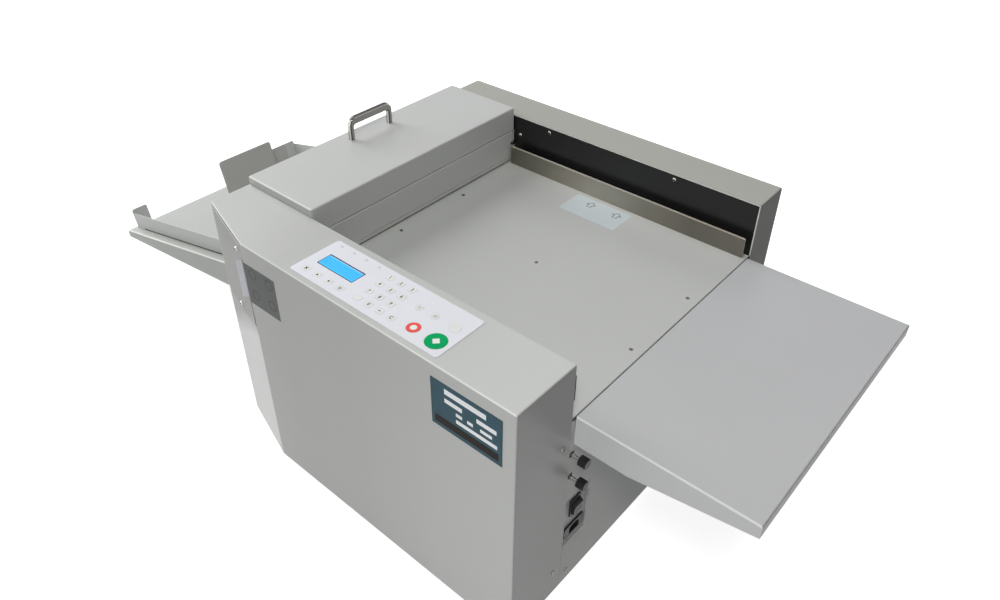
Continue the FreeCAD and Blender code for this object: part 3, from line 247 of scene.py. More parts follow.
def makeInkGrain():    # slightly uneven printed film
    group, given, out = startGroup("inkGrain", {"Ink": (0.1, 0.1, 0.1, 1), "Spread": 0.04}, grainOutputs)
    place = coordinate(group, "Object")
    fine = noise(group, 1800.0, 2.0, place)
    wide = noise(group, 25.0, 2.0, place)
    tone = mathNode(group, "MULTIPLY", swing(group, fine, given["Spread"]),
                    swing(group, wide, given["Spread"]))
    return endGrain(group, out, scaleColour(group, given["Ink"], tone), remap(group, wide, 0.36, 0.48), fine)


# Painted highlight on the rounded folds of the sheet, painted shade on faces to the feed end and painted
# light on faces to the front
foldReach = dict(bend=(0.12, 0.42), end=(0.6, 0.95), front=(-0.85, -0.97))


def makePaintedFoldAndFaceLight(reach):
    group, given, out = startGroup("paintedFoldAndFaceLight", {"Gain": 1.3, "End": 1.0, "Front": 1.0},
                                   {"Factor": "NodeSocketFloat"})
    facing = axesOf(group, coordinate(group, "Normal"))
    upFront = mathNode(group, "MULTIPLY", mathNode(group, "MULTIPLY", facing["Y"], -1.0), facing["Z"])
    # painted highlight on folds that face up and to the front
    bend = remap(group, upFront, 1.0, given["Gain"], *reach["bend"])
    # painted shade on faces to the feed end
    end = remap(group, facing["X"], 1.0, given["End"], *reach["end"])
    # painted light on faces to the front
    front = remap(group, facing["Y"], 1.0, given["Front"], *reach["front"])
    feed(group, mathNode(group, "MULTIPLY", bend, mathNode(group, "MULTIPLY", end, front)), out["Factor"])
    return group


paintGrain = makePaintGrain()
brushing = makeBrushing()
mouldGrain = makeMouldGrain()
inkGrain = makeInkGrain()
paintedFoldAndFaceLight = makePaintedFoldAndFaceLight(foldReach)

# Materials: one builder for each kind of surface
reliefDepth = dict(paint=0.2 * mm, metal=0.05 * mm, plastic=0.1 * mm, ink=0.02 * mm)
inkBump = 0.05
plasticShine = 0.3


def startMaterial(name):
    material = bpy.data.materials.new(name)
    material.use_nodes = True
    tree = material.node_tree
    return material, tree, tree.nodes["Principled BSDF"]


def placeGroup(tree, group, values):
    made = addNode(tree, "ShaderNodeGroup", node_tree=group)
    for label, value in values.items():
        made.inputs[label].default_value = value
    return made.outputs


def dressSurface(tree, shader, group, values, bump, depth):
    made = placeGroup(tree, group, values)
    feed(tree, made["Color"], shader.inputs["Base Color"])
    feed(tree, made["Roughness"], shader.inputs["Roughness"])
    relief = addNode(tree, "ShaderNodeBump")
    feed(tree, bump, relief.inputs["Strength"])
    feed(tree, depth, relief.inputs["Distance"])
    feed(tree, made["Height"], relief.inputs["Height"])
    feed(tree, relief.outputs["Normal"], shader.inputs["Normal"])
    return made["Color"]


def makePaint(name, colour, mottle, gloss, peel=850.0, bump=0.12, fold=1.0, end=1.0, front=1.0, shine=0.4):
    material, tree, shader = startMaterial(name)
    grain = dressSurface(tree, shader, paintGrain, {
        "Paint": opaque(colour), "Mottle": mottle, "Peel": peel,
        "Gloss Low": gloss[0], "Gloss High": gloss[1],
    }, bump, reliefDepth["paint"])
    shader.inputs["Specular IOR Level"].default_value = shine
    # fold, end and front multiply the colour with painted light: a highlight on the folds, shade on faces to
    # the feed end, light on faces to the front
    if fold > 1.0:
        bends = placeGroup(tree, paintedFoldAndFaceLight, {"Gain": fold, "End": end, "Front": front})
        feed(tree, scaleColour(tree, grain, bends["Factor"]), shader.inputs["Base Color"])
    return material


def makeMetal(name, colour, stretch, streak, gloss, bump):
    material, tree, shader = startMaterial(name)
    dressSurface(tree, shader, brushing, {
        "Metal": opaque(colour), "Stretch": stretch, "Streak": streak,
        "Gloss Low": gloss[0], "Gloss High": gloss[1],
    }, bump, reliefDepth["metal"])
    shader.inputs["Metallic"].default_value = 1.0
    return material


def makePlastic(name, colour, grain, gloss, bump):
    material, tree, shader = startMaterial(name)
    dressSurface(tree, shader, mouldGrain, {
        "Plastic": opaque(colour), "Grain": grain, "Gloss Low": gloss[0], "Gloss High": gloss[1],
    }, bump, reliefDepth["plastic"])
    shader.inputs["Specular IOR Level"].default_value = plasticShine
    return material


def makeInk(name, colour, spread=0.04, glow=0.0, shine=0.2):
    material, tree, shader = startMaterial(name)
    grain = dressSurface(tree, shader, inkGrain, {"Ink": opaque(colour), "Spread": spread},
                         inkBump, reliefDepth["ink"])
    shader.inputs["Specular IOR Level"].default_value = shine
    if glow:
        feed(tree, grain, shader.inputs["Emission Color"])
        shader.inputs["Emission Strength"].default_value = glow
    return material


housingGrey = (0.535, 0.548, 0.545)


# housing paint carries the painted fold highlight, and painted shade and light where end and front differ
# from one
def housingPaint(name, colour=housingGrey, fold=1.45, end=1.0, front=1.0, shine=0.4):
    return makePaint(name, colour, 0.018, (0.31, 0.38), fold=fold, end=end, front=front, shine=shine)


# Finishes by the record's slots: paint with mottle and gloss, metal with brushing, streak, gloss and bump,
# plastic with grain, gloss and bump
finishes = {
    # the warm grey paint carries the painted fold highlight
    "warm_grey_paint": housingPaint("warmGreyPaint"),
    "dark_grey_paint": makePaint("stopGreyPaint", (0.43, 0.43, 0.425), 0.03, (0.34, 0.44)),
    "black_paint": makePaint("satinBlackPaint", (0.012, 0.0125, 0.013), 0.12, (0.30, 0.42), 1200.0, 0.06),
    "stainless": makeMetal("brushedStainless", (0.46, 0.435, 0.40), (5.0, 1400.0, 1400.0), 0.16, (0.26, 0.44),
                           0.12),
    "steel": makeMetal("groundSteel", (0.52, 0.51, 0.49), (300.0, 300.0, 300.0), 0.06, (0.24, 0.32), 0.012),
    "chrome": makeMetal("polishedChrome", (0.33, 0.315, 0.29), (900.0, 40.0, 900.0), 0.08, (0.08, 0.15),
                        0.03),
    "bronze": makeMetal("turnedBronze", (0.55, 0.40, 0.20), (900.0, 60.0, 900.0), 0.12, (0.30, 0.45), 0.08),
    "aluminium": makeMetal("milledAluminium", (0.62, 0.63, 0.64), (500.0, 60.0, 500.0), 0.08, (0.30, 0.45),
                           0.08),
    "motor_black": makePaint("motorBlackPaint", (0.03, 0.03, 0.033), 0.10, (0.35, 0.50), 1500.0, 0.10),
    "roller_rubber": makePlastic("rollerRubber", (0.045, 0.045, 0.05), 1500.0, (0.60, 0.80), 0.25),
    "black_rubber": makePlastic("footRubber", (0.022, 0.022, 0.023), 900.0, (0.65, 0.85), 0.35),
    "black_plastic": makePlastic("blackPlastic", (0.016, 0.016, 0.018), 2600.0, (0.32, 0.50), 0.15),
    "overlay_film": makeInk("overlayFilm", (0.78, 0.80, 0.87), 0.012),
    "start_green": makeInk("startGreen", (0.0, 0.375, 0.12), 0.05, shine=0.08),
    "stop_red": makeInk("stopRed", (0.80, 0.095, 0.085), 0.05),
    "display_glass": makeInk("displayGlass", (0.02, 0.05, 0.16), 0.10),
    "board_green": makePlastic("boardGreen", (0.02, 0.16, 0.07), 700.0, (0.35, 0.50), 0.10),
}


def shadeColour(material, toneOf):
    tree = material.node_tree
    shader = tree.nodes["Principled BSDF"]
    colour = shader.inputs["Base Color"].links[0].from_socket
    feed(tree, scaleColour(tree, colour, toneOf(tree)), shader.inputs["Base Color"])
    return material


# painted highlight: up-facing faces made lighter by a gain
def paintTopHighlight(material, gain):
    def factor(tree):
        return remap(tree, axesOf(tree, coordinate(tree, "Normal"))["Z"], 1.0, gain, 0.3, 0.8)

    return shadeColour(material, factor)


# painted light and shade as a tone ramp along a node
def paintedLightAlong(material, stops):    # from the exit end to the feed end of a node
    def factor(tree):
        return toneRamp(tree, axesOf(tree, coordinate(tree, "Generated"))["X"], stops)

    return shadeColour(material, factor)


# Painted reflections on the chrome handle: bright and dark bands round it, dark on top of the grip
handleReflectionBands = dict(across=(0.75, 0.66), top=(0.35, 0.75), topSide=0.3, stops=[
    (0.0, 0.3), (0.12, 0.5), (0.22, 1.6), (0.46, 1.6), (0.54, 0.2), (0.72, 0.16), (0.82, 0.62), (0.92, 0.75),
    (1.0, 0.3),
])


def paintHandleReflections(material, values):
    def factor(tree):
        facing = axesOf(tree, coordinate(tree, "Normal"))
        side = mathNode(tree, "ADD", mathNode(tree, "MULTIPLY", facing["X"], values["across"][0]),
                        mathNode(tree, "MULTIPLY", facing["Y"], values["across"][1]))
        top = remap(tree, facing["Z"], -1.0, values["topSide"], *values["top"])
        side = mathNode(tree, "MAXIMUM", side, top)
        return toneRamp(tree, remap(tree, side, 0.0, 1.0, -1.0, 1.0), values["stops"])

    return shadeColour(material, factor)


# Painted pale reflection low on the chamfered corner, with a slanting soft edge, and painted shade above it;
# tones below and above it
chamferShade = dict(slope=0.588, level=0.3337, soft=(-0.03, 0.02), facing=(-0.25, -0.12),
                    endFace=(-0.8, -0.5), panelTones=(2.6, 1.0), housingTones=(1.14, 0.45))


def shadeChamfer(material, values, tones):
    def factor(tree):
        place = axesOf(tree, coordinate(tree, "Object"))
        facing = axesOf(tree, coordinate(tree, "Normal"))["X"]
        slant = mathNode(tree, "MULTIPLY", place["X"], values["slope"])
        above = mathNode(tree, "SUBTRACT", place["Z"], slant)
        above = mathNode(tree, "SUBTRACT", above, sheetFoot + values["level"])
        tone = remap(tree, above, *tones, *values["soft"])
        chamfer = mathNode(tree, "MULTIPLY", remap(tree, facing, 1.0, 0.0, *values["facing"]),
                           remap(tree, facing, 0.0, 1.0, *values["endFace"]))
        change = mathNode(tree, "MULTIPLY", chamfer, mathNode(tree, "SUBTRACT", tone, 1.0))
        return mathNode(tree, "ADD", 1.0, change)

    return shadeColour(material, factor)


# Nodes with a finish of their own, most with painted light and shade in their colour
# painted reflection along the fence: darker at the exit end, lighter towards the middle, darker again towards
# the feed end
fencePaintedReflection = [(0.0, 0.74), (0.14, 0.92), (0.28, 1.2), (0.37, 1.35), (0.55, 1.05), (0.8, 0.62), (1.0, 0.75)]
# painted light along the front housing: a little darker in the middle, lighter towards the feed end
housingPaintedLight = [(0.0, 1.0), (0.15, 1.0), (0.32, 0.93), (0.55, 0.96), (0.8, 1.06), (1.0, 1.10)]
# painted glint: screws near the exit end made 2.3 times lighter
screwPaintedGlint = [(0.0, 2.3), (0.22, 2.3), (0.3, 1.0), (1.0, 1.0)]
fenceTopHighlightGain = 4.0
fenceSteel = makeMetal("fenceStainless", (0.34, 0.325, 0.28), (4.0, 1500.0, 1500.0), 0.08, (0.42, 0.55), 0.06)
screwSteel = makeMetal("screwSteel", (0.30, 0.29, 0.275), (300.0, 300.0, 300.0), 0.10, (0.20, 0.32), 0.05)
handleChrome = makeMetal("handleChrome", (0.5, 0.48, 0.46), (900.0, 40.0, 900.0), 0.05, (0.11, 0.17), 0.012)
# the corner panel's dark colour is painted shade, lightened low down by the painted reflection
cornerShadedPaint = makePaint("cornerShadedPaint", (0.23, 0.235, 0.225), 0.02, (0.38, 0.45), shine=0.3)
# end=0.56 paints shade on the front housing's faces to the feed end
frontPaint = paintedLightAlong(housingPaint("frontHousingPaint", end=0.56, shine=0.25), housingPaintedLight)
ownFinish = {
    "paper_fence": paintTopHighlight(paintedLightAlong(fenceSteel, fencePaintedReflection), fenceTopHighlightGain),
    "corner_panel": shadeChamfer(cornerShadedPaint, chamferShade, chamferShade["panelTones"]),
    "machine_screws": paintedLightAlong(screwSteel, screwPaintedGlint),
    "front_housing": shadeChamfer(frontPaint, chamferShade, chamferShade["housingTones"]),
    # end factors below one are painted shade on faces to the feed end
    "feed_end_panel": housingPaint("endPanelPaint", end=0.72, shine=0.2),
    "rear_housing": housingPaint("rearHousingPaint", (0.45, 0.45, 0.425), end=0.43, shine=0.02),
    # front factor above one is painted light on the extension's front face
    "extension_tray": housingPaint("extensionPaint", (0.53, 0.537, 0.556), fold=1.55, end=0.35, front=1.36,
                                   shine=0.3),
    "exit_tray": housingPaint("trayPaint", (0.375, 0.395, 0.375)),
    "cover_handle": paintHandleReflections(handleChrome, handleReflectionBands),
}
slotOf = {row["node"]: row["material_slot"] for row in frame["record"]["subparts"]}
for name, part in nodes.items():
    part.data.materials.clear()
    part.data.materials.append(ownFinish.get(name) or finishes[slotOf[name]])
print("finishes on CAD nodes:", len(finishes) + len(ownFinish))

# Printed films, and thin strips of painted highlight and painted shade: colour, unevenness, glow and shine
inkColours = {
    "keyLine": ((0.69, 0.70, 0.65),),
    "keyPad": ((0.80, 0.82, 0.82), 0.02),
    "keyInk": ((0.02, 0.026, 0.02), 0.12),
    "keyGrey": ((0.15, 0.15, 0.18), 0.08),
    "keyGreen": ((0.035, 0.09, 0.03), 0.10),
    "keyWhite": ((0.85, 0.86, 0.86), 0.02),
    "screenBlue": ((0.04, 0.42, 0.90), 0.05, 0.45),
    "screenCell": ((0.035, 0.36, 0.84), 0.05, 0.40),
    "screenNavy": ((0.015, 0.02, 0.10), 0.10),
    "screenGlint": ((0.30, 0.55, 0.85), 0.04, 0.30),
    "plateTeal": ((0.056, 0.118, 0.158), 0.08, 0.0, 0.05),
    "plateRim": ((0.05, 0.10, 0.125), 0.06, 0.0, 0.05),
    # white fields with a painted glow
    "glowingPlateField": ((0.87, 0.89, 0.93), 0.03, 0.12),
    "plateStrip": ((0.022, 0.018, 0.015), 0.15, 0.0, 0.05),
    "smokedPlate": ((0.085, 0.095, 0.095), 0.12),
    "smokedRing": ((0.050, 0.050, 0.053), 0.10),
    "lilacStrip": ((0.40, 0.40, 0.46), 0.05),
    "labelBlue": ((0.60, 0.66, 0.70), 0.03),
    "labelInk": ((0.05, 0.07, 0.09), 0.10),
    # dark ink, mostly painted shade in seams, recesses and under edges
    "seamShade": ((0.035, 0.037, 0.038), 0.10),
    # painted highlight along sheet edges
    "paintedHighlight": ((0.78, 0.80, 0.77), 0.05),
    # painted highlight along the fence's top edge
    "fenceEdgeHighlight": ((0.66, 0.58, 0.49), 0.06),
}
inks = {name: makeInk(name, *values) for name, values in inkColours.items()}


# Flat pieces: thin closed solids laid on a plane
class Plane:
    def __init__(self, origin, right, up):
        self.origin = Vector(origin)
        self.right = Vector(right).normalized()
        self.up = Vector(up).normalized()
        self.out = self.right.cross(self.up)

    def at(self, u, v, height):
        return self.origin + self.right * u + self.up * v + self.out * height


def lyingPlane(x, y, z):
    return Plane((x, y, z), (1, 0, 0), (0, 1, 0))


def standingPlane(x, y, z):    # faces the front
    return Plane((x, y, z), (1, 0, 0), (0, 0, 1))


def roundedBox(width, height, radius, centre=(0, 0), steps=6):
    points = []
    corners = ((1, 1, 0), (-1, 1, 90), (-1, -1, 180), (1, -1, 270))
    for signU, signV, start in corners:
        for step in range(steps + 1):
            angle = math.radians(start + 90 * step / steps)
            points.append((centre[0] + signU * (width / 2 - radius) + radius * math.cos(angle),
                           centre[1] + signV * (height / 2 - radius) + radius * math.sin(angle)))
    return points


def circle(radius, centre=(0, 0), steps=40):
    turns = [2 * math.pi * step / steps for step in range(steps)]
    return [(centre[0] + radius * math.cos(a), centre[1] + radius * math.sin(a)) for a in turns]


def barBetween(start, end, width):
    a, b = Vector(start), Vector(end)
    along = (b - a).normalized() * (width / 2)
    side = Vector((-along.y, along.x))
    return [tuple(a - side), tuple(b - side), tuple(b + side), tuple(a + side)]


class PieceMesh:
    def __init__(self, name):
        self.name = name
        self.mesh = bmesh.new()
        self.materials = []

    def slotIndex(self, material):
        if material not in self.materials:
            self.materials.append(material)
        return self.materials.index(material)

    def prism(self, plane, points, low, high, material):
        bottom = [self.mesh.verts.new(plane.at(u, v, low)) for u, v in points]
        top = [self.mesh.verts.new(plane.at(u, v, high)) for u, v in points]
        faces = [self.mesh.faces.new(top), self.mesh.faces.new(list(reversed(bottom)))]
        count = len(points)
        for i in range(count):
            j = (i + 1) % count
            faces.append(self.mesh.faces.new((bottom[i], bottom[j], top[j], top[i])))
        index = self.slotIndex(material)
        for face in faces:
            face.material_index = index

    def ring(self, plane, outer, inner, low, high, material):
        index = self.slotIndex(material)
        loops = []
        for points, level in ((outer, low), (outer, high), (inner, high), (inner, low)):
            loops.append([self.mesh.verts.new(plane.at(u, v, level)) for u, v in points])
        count = len(outer)
        for first, here in enumerate(loops):
            there = loops[(first + 1) % len(loops)]
            for i in range(count):
                j = (i + 1) % count
                face = self.mesh.faces.new((here[i], here[j], there[j], there[i]))
                face.material_index = index

    def boxRing(self, plane, size, line, radii, levels, material, centre=(0, 0)):
        outer = roundedBox(size[0], size[1], radii[0], centre)
        inner = roundedBox(size[0] - 2 * line, size[1] - 2 * line, radii[1], centre)
        self.ring(plane, outer, inner, *levels, material)

    def strip(self, plane, startU, endU, startV, endV, height, material):
        outline = [(startU, startV), (endU, startV), (endU, endV), (startU, endV)]
        self.prism(plane, outline, 0, height, material)

    def lettering(self, plane, text, size, bold, low, high, material):
        curve = bpy.data.curves.new("digits", "FONT")
        curve.body = text
        curve.size = size
        curve.align_x = "CENTER"
        curve.align_y = "CENTER"
        curve.extrude = (high - low) / 2
        curve.offset = bold
        curve.resolution_u = 4
        holder = addObject("digits", curve)
        bpy.context.view_layer.update()
        flat = bpy.data.meshes.new_from_object(holder.evaluated_get(bpy.context.evaluated_depsgraph_get()))
        middle = (low + high) / 2
        for vertex in flat.vertices:
            vertex.co = plane.at(vertex.co.x, vertex.co.y, middle + vertex.co.z)
        start = len(self.mesh.faces)
        self.mesh.from_mesh(flat)
        self.mesh.faces.ensure_lookup_table()
        index = self.slotIndex(material)
        for face in self.mesh.faces[start:]:
            face.material_index = index
        bpy.data.objects.remove(holder)
        bpy.data.curves.remove(curve)
        bpy.data.meshes.remove(flat)

    def done(self, body):
        bmesh.ops.remove_doubles(self.mesh, verts=self.mesh.verts, dist=1e-7)
        bmesh.ops.recalc_face_normals(self.mesh, faces=self.mesh.faces)
        data = bpy.data.meshes.new(self.name)
        self.mesh.to_mesh(data)
        self.mesh.free()
        for material in self.materials:
            data.materials.append(material)
        piece = addObject(self.name, data)
        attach(piece, body)


# Key prints: a fine outline and a small sign on each key
keyPrint = dict(sink=0.02 * mm, rise=0.05 * mm, pad=0.02 * mm, layer=0.002 * mm, lip=1.0 * mm,
                line=0.35 * mm, inset=0.9 * mm, corner=2.0 * mm, digit=7.6 * mm, bold=0.2 * mm,
                sign=2.5 * mm, stroke=0.6 * mm, crossStroke=1.68 * mm, arrowStroke=0.84 * mm)
keyLevels = (-keyPrint["sink"], keyPrint["rise"])
crossedLevels = (-keyPrint["sink"], keyPrint["rise"] + keyPrint["layer"])    # for a bar that crosses another
startSign = dict(half=6.5 * mm)
stopSign = dict(radius=5.2 * mm)
testSign = dict(size=(10.0 * mm, 8.0 * mm), corner=1.4 * mm, line=0.6 * mm, slash=(3.6 * mm, 2.6 * mm))


def keyOutline(piece, plane, width, height, isRound, ink):
    line, corner = keyPrint["line"], keyPrint["corner"]
    if isRound:
        outer, inner = circle(width / 2), circle(width / 2 - line)
    else:
        outer = roundedBox(width, height, corner)
        inner = roundedBox(width - 2 * line, height - 2 * line, corner - line)
    piece.ring(plane, outer, inner, *keyLevels, ink)
    piece.prism(plane, inner, -keyPrint["sink"], keyPrint["pad"], inks["keyPad"])


def crossSign(piece, plane, ink):
    reach = keyPrint["sign"]
    for way, levels in ((1, crossedLevels), (-1, keyLevels)):
        points = barBetween((-reach, -reach * way), (reach, reach * way), keyPrint["crossStroke"])
        piece.prism(plane, points, *levels, ink)


def triangleSign(piece, plane, ink, way):
    reach = keyPrint["sign"]
    points = [(-reach, -0.7 * reach * way), (reach, -0.7 * reach * way), (0, reach * way)]
    piece.prism(plane, points, *keyLevels, ink)


def windowSign(piece, plane, ink):
    reach, stroke = keyPrint["sign"], keyPrint["stroke"]
    inside = reach - stroke
    piece.boxRing(plane, (2 * reach, 2 * reach), stroke, (0.3 * mm, 0.1 * mm), keyLevels, ink)
    piece.prism(plane, barBetween((-inside, 0), (inside, 0), stroke), *keyLevels, ink)
    piece.prism(plane, barBetween((0, -inside), (0, inside), stroke), *crossedLevels, ink)


def barsSign(piece, plane, ink, tilt):
    reach = keyPrint["sign"]
    for step in (-1, 0, 1):
        level = step * 0.75 * reach
        points = barBetween((-reach, level - tilt * reach), (reach, level + tilt * reach), keyPrint["stroke"])
        piece.prism(plane, points, *keyLevels, ink)


def arrowSign(piece, plane, ink):
    reach = keyPrint["sign"]
    head = [(-reach, 0), (-0.1 * reach, 0.7 * reach), (-0.1 * reach, -0.7 * reach)]
    piece.prism(plane, head, *keyLevels, ink)
    piece.prism(plane, barBetween((-0.15 * reach, 0), (reach, 0), keyPrint["arrowStroke"]), *keyLevels, ink)


def lozengeSign(piece, plane, ink):
    half = startSign["half"]
    piece.prism(plane, [(half, 0), (0, half), (-half, 0), (0, -half)], *keyLevels, ink)


def octagonSign(piece, plane, ink):
    angles = [(2 * k + 1) * math.pi / 8 for k in range(8)]
    points = [(stopSign["radius"] * math.cos(a), stopSign["radius"] * math.sin(a)) for a in angles]
    piece.prism(plane, points, *keyLevels, ink)


def sheetSign(piece, plane, ink):
    corner, line = testSign["corner"], testSign["line"]
    across, up = testSign["slash"]
    piece.boxRing(plane, testSign["size"], line, (corner, corner - line), keyLevels, ink)
    piece.prism(plane, barBetween((-across, -up), (across, up), line), *keyLevels, ink)


def signKey(node, isRound, ink, line, sign):
    low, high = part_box(node)
    plane = lyingPlane((low.x + high.x) / 2, (low.y + high.y) / 2, high.z)
    margin = 2 * (keyPrint["lip"] + keyPrint["inset"])
    piece = PieceMesh(node + "_print")
    if line:
        keyOutline(piece, plane, high.x - low.x - margin, high.y - low.y - margin, isRound, inks[line])
    sign(piece, plane, inks[ink])
    piece.done(node + "_body")


signKey("cancel_key", False, "keyGreen", "keyLine", crossSign)
signKey("up_key", False, "keyInk", "keyLine", partial(triangleSign, way=1))
signKey("down_key", False, "keyInk", "keyLine", partial(triangleSign, way=-1))
signKey("menu_key", False, "keyInk", "keyLine", windowSign)
signKey("count_key", True, "keyGrey", "keyLine", partial(barsSign, tilt=0.0))
signKey("mode_key", True, "keyGrey", "keyLine", partial(barsSign, tilt=0.35))
signKey("test_key", True, "keyLine", "keyLine", sheetSign)
signKey("stop_key", True, "keyWhite", None, octagonSign)
signKey("start_key", True, "keyWhite", None, lozengeSign)

# Number keys: a front row of four, then three rows of digits
numberKeys = dict(width=15.0 * mm, depth=13.0 * mm, dot=0.7 * mm, rows=["*0<C", "789", "456", "123"])


def printNumberKeys(values):
    low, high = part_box("number_keys")
    keyWidth, keyDepth, rows = values["width"], values["depth"], values["rows"]
    pitchX = (high.x - low.x - keyWidth) / (len(rows[0]) - 1)
    pitchY = (high.y - low.y - keyDepth) / (len(rows) - 1)
    margin = 2 * (keyPrint["lip"] + keyPrint["inset"])
    height = keyDepth - margin
    piece = PieceMesh("number_print")
    for row, signs in enumerate(rows):
        for column, sign in enumerate(signs):
            plane = lyingPlane(low.x + keyWidth / 2 + column * pitchX,
                               low.y + keyDepth / 2 + row * pitchY, high.z)
            isRound = sign == "C"
            width = height if isRound else keyWidth - margin
            keyOutline(piece, plane, width, height, isRound, inks["keyLine"])
            if sign == "<":
                arrowSign(piece, plane, inks["keyInk"])
            elif sign == "*":
                piece.prism(plane, circle(values["dot"]), *keyLevels, inks["keyLine"])
            else:
                piece.lettering(plane, sign, keyPrint["digit"], keyPrint["bold"], *keyLevels, inks["keyInk"])
    piece.done("machine")


printNumberKeys(numberKeys)

# Small indicator signs along the rear edge of the overlay, boxes and rings in turn
indicators = dict(count=4, first=417.6 * mm, pitch=26.9 * mm, row=96.0 * mm, size=4.6 * mm, line=0.3 * mm,
                  corners=(0.5 * mm, 0.3 * mm), dash=0.5 * mm)


def printIndicators(values):
    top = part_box("control_overlay")[1].z
    size, line = values["size"], values["line"]
    piece = PieceMesh("indicator_print")
    for step in range(values["count"]):
        column = feedEnd - values["first"] + step * values["pitch"]
        plane = lyingPlane(column, frontFace + values["row"], top)
        if step % 2:
            radius = 0.42 * size
            piece.ring(plane, circle(radius), circle(radius - line), *keyLevels, inks["keyGrey"])
        else:
            piece.boxRing(plane, (size, 0.7 * size), line, values["corners"], keyLevels, inks["keyGrey"])
        dash = barBetween((-0.2 * size, 0), (0.2 * size, 0), values["dash"])
        piece.prism(plane, dash, *keyLevels, inks["keyGrey"])
    piece.done("machine")


printIndicators(indicators)

# Display: lit window with a navy edge, faint character cells and a pale strip at the rear
screen = dict(length=76.0 * mm, depth=27.0 * mm, column=377.0 * mm, row=58.5 * mm, border=1.3 * mm,
              rear=2.2 * mm, strip=1.4 * mm, stripInset=0.5 * mm, corners=(1.0 * mm, 0.6 * mm), cells=20,
              lines=4, cellGap=0.55 * mm, lineGap=1.0 * mm, margin=(6.0 * mm, 8.0 * mm), shift=1.0 * mm)
screenLevels = dict(edge=(-0.02 * mm, 0.08 * mm), glass=(-0.02 * mm, 0.04 * mm),
                    cell=(0.03 * mm, 0.05 * mm), shade=(0.03 * mm, 0.06 * mm))


def makeScreen(values, levels):
    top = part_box("control_overlay")[1].z
    plane = lyingPlane(feedEnd - values["column"], frontFace + values["row"], top)
    length, depth, border, rear = values["length"], values["depth"], values["border"], values["rear"]
    litLength = length - 2 * border
    litDepth = depth - 2 * border
    piece = PieceMesh("display_screen")
    piece.boxRing(plane, (length, depth), border, values["corners"], levels["edge"], inks["screenNavy"])
    glass = roundedBox(litLength, litDepth, values["corners"][1])
    piece.prism(plane, glass, *levels["glass"], inks["screenBlue"])
    glint = roundedBox(litLength - 2 * values["stripInset"], values["strip"], 0.3 * mm,
                       (0, depth / 2 - rear - values["strip"] / 2))
    piece.prism(plane, glint, *levels["cell"], inks["screenGlint"])
    shade = roundedBox(litLength, rear - border, 0.2 * mm, (0, depth / 2 - (border + rear) / 2))
    piece.prism(plane, shade, *levels["shade"], inks["screenNavy"])
    fieldLength = litLength - values["margin"][0]
    fieldDepth = litDepth - values["margin"][1]
    cellPitch = fieldLength / values["cells"]
    linePitch = fieldDepth / values["lines"]
    for line in range(values["lines"]):
        for cell in range(values["cells"]):
            centre = ((cell + 0.5) * cellPitch - fieldLength / 2,
                      (line + 0.5) * linePitch - fieldDepth / 2 - values["shift"])
            box = roundedBox(cellPitch - values["cellGap"], linePitch - values["lineGap"], 0.2 * mm,
                             centre, 1)
            piece.prism(plane, box, *levels["cell"], inks["screenCell"])
    piece.done("machine")


makeScreen(screen, screenLevels)
print("control panel prints done")

# Bare rating plate on the front face: rim, blank fields and a dark strip
# A field's sides are shares of the plate: left and right from its left edge, up and down from its top
ratingPlate = dict(start=21.0 * mm, length=121.0 * mm, foot=360.0 * mm, height=82.0 * mm, thick=0.25 * mm,
                   rimInset=0.2 * mm, rim=2.3 * mm, corners=(0.9 * mm, 0.6 * mm),
                   fields=[(0.20, 0.78, 0.10, 0.21), (0.20, 0.45, 0.30, 0.39), (0.65, 0.92, 0.30, 0.39),
                           (0.36, 0.45, 0.47, 0.54), (0.52, 0.60, 0.47, 0.54), (0.70, 0.86, 0.47, 0.54),
                           (0.36, 0.93, 0.61, 0.69)],
                   strip=(0.05, 0.95, 0.76, 0.92))


def printedLevels(thick):    # a print sunk a little into a plate of this thickness
    return (thick - 0.1 * mm, thick + 0.05 * mm)


def makeRatingPlate(values):
    length, height, thick, inset = values["length"], values["height"], values["thick"], values["rimInset"]
    plane = standingPlane(feedEnd - values["start"] - length, frontFace, sheetFoot + values["foot"])
    middle = (length / 2, height / 2)
    levels = printedLevels(thick)
    piece = PieceMesh("rating_plate")
    piece.prism(plane, roundedBox(length, height, 1.0 * mm, middle), 0, thick, inks["plateTeal"])
    piece.boxRing(plane, (length - 2 * inset, height - 2 * inset), values["rim"], values["corners"], levels,
                  inks["plateRim"], middle)
    marked = [(shares, "glowingPlateField") for shares in values["fields"]] + [(values["strip"], "plateStrip")]
    for (left, right, up, down), ink in marked:
        centre = ((left + right) / 2 * length, (1 - (up + down) / 2) * height)
        box = roundedBox((right - left) * length, (down - up) * height, 0.5 * mm, centre)
        piece.prism(plane, box, *levels, inks[ink])
    piece.done("machine")


makeRatingPlate(ratingPlate)

# Smoked plate with four rings beside the chamfered corner, and the pale slanted strip on the chamfer
chamfer = dict(run=138.0 * mm, depth=41.0 * mm)
ringPlate = dict(length=75.0 * mm, foot=352.0 * mm, height=77.0 * mm, thick=0.25 * mm, corner=1.2 * mm,
                 ringRadius=10.0 * mm, ringLine=3.2 * mm, columns=(19.0 * mm, 60.0 * mm),
                 rows=(22.5 * mm, 62.5 * mm))
cornerStrip = dict(corners=[(-52.0, 329.0), (-9.0, 357.0), (-9.0, 428.0), (-52.0, 402.0)], thick=0.3 * mm)


def chamferPlane():    # u is negative from the front corner towards the exit end
    along = (chamfer["run"], -chamfer["depth"], 0)
    return Plane((housingLow.x + chamfer["run"], frontFace, sheetFoot), along, (0, 0, 1))


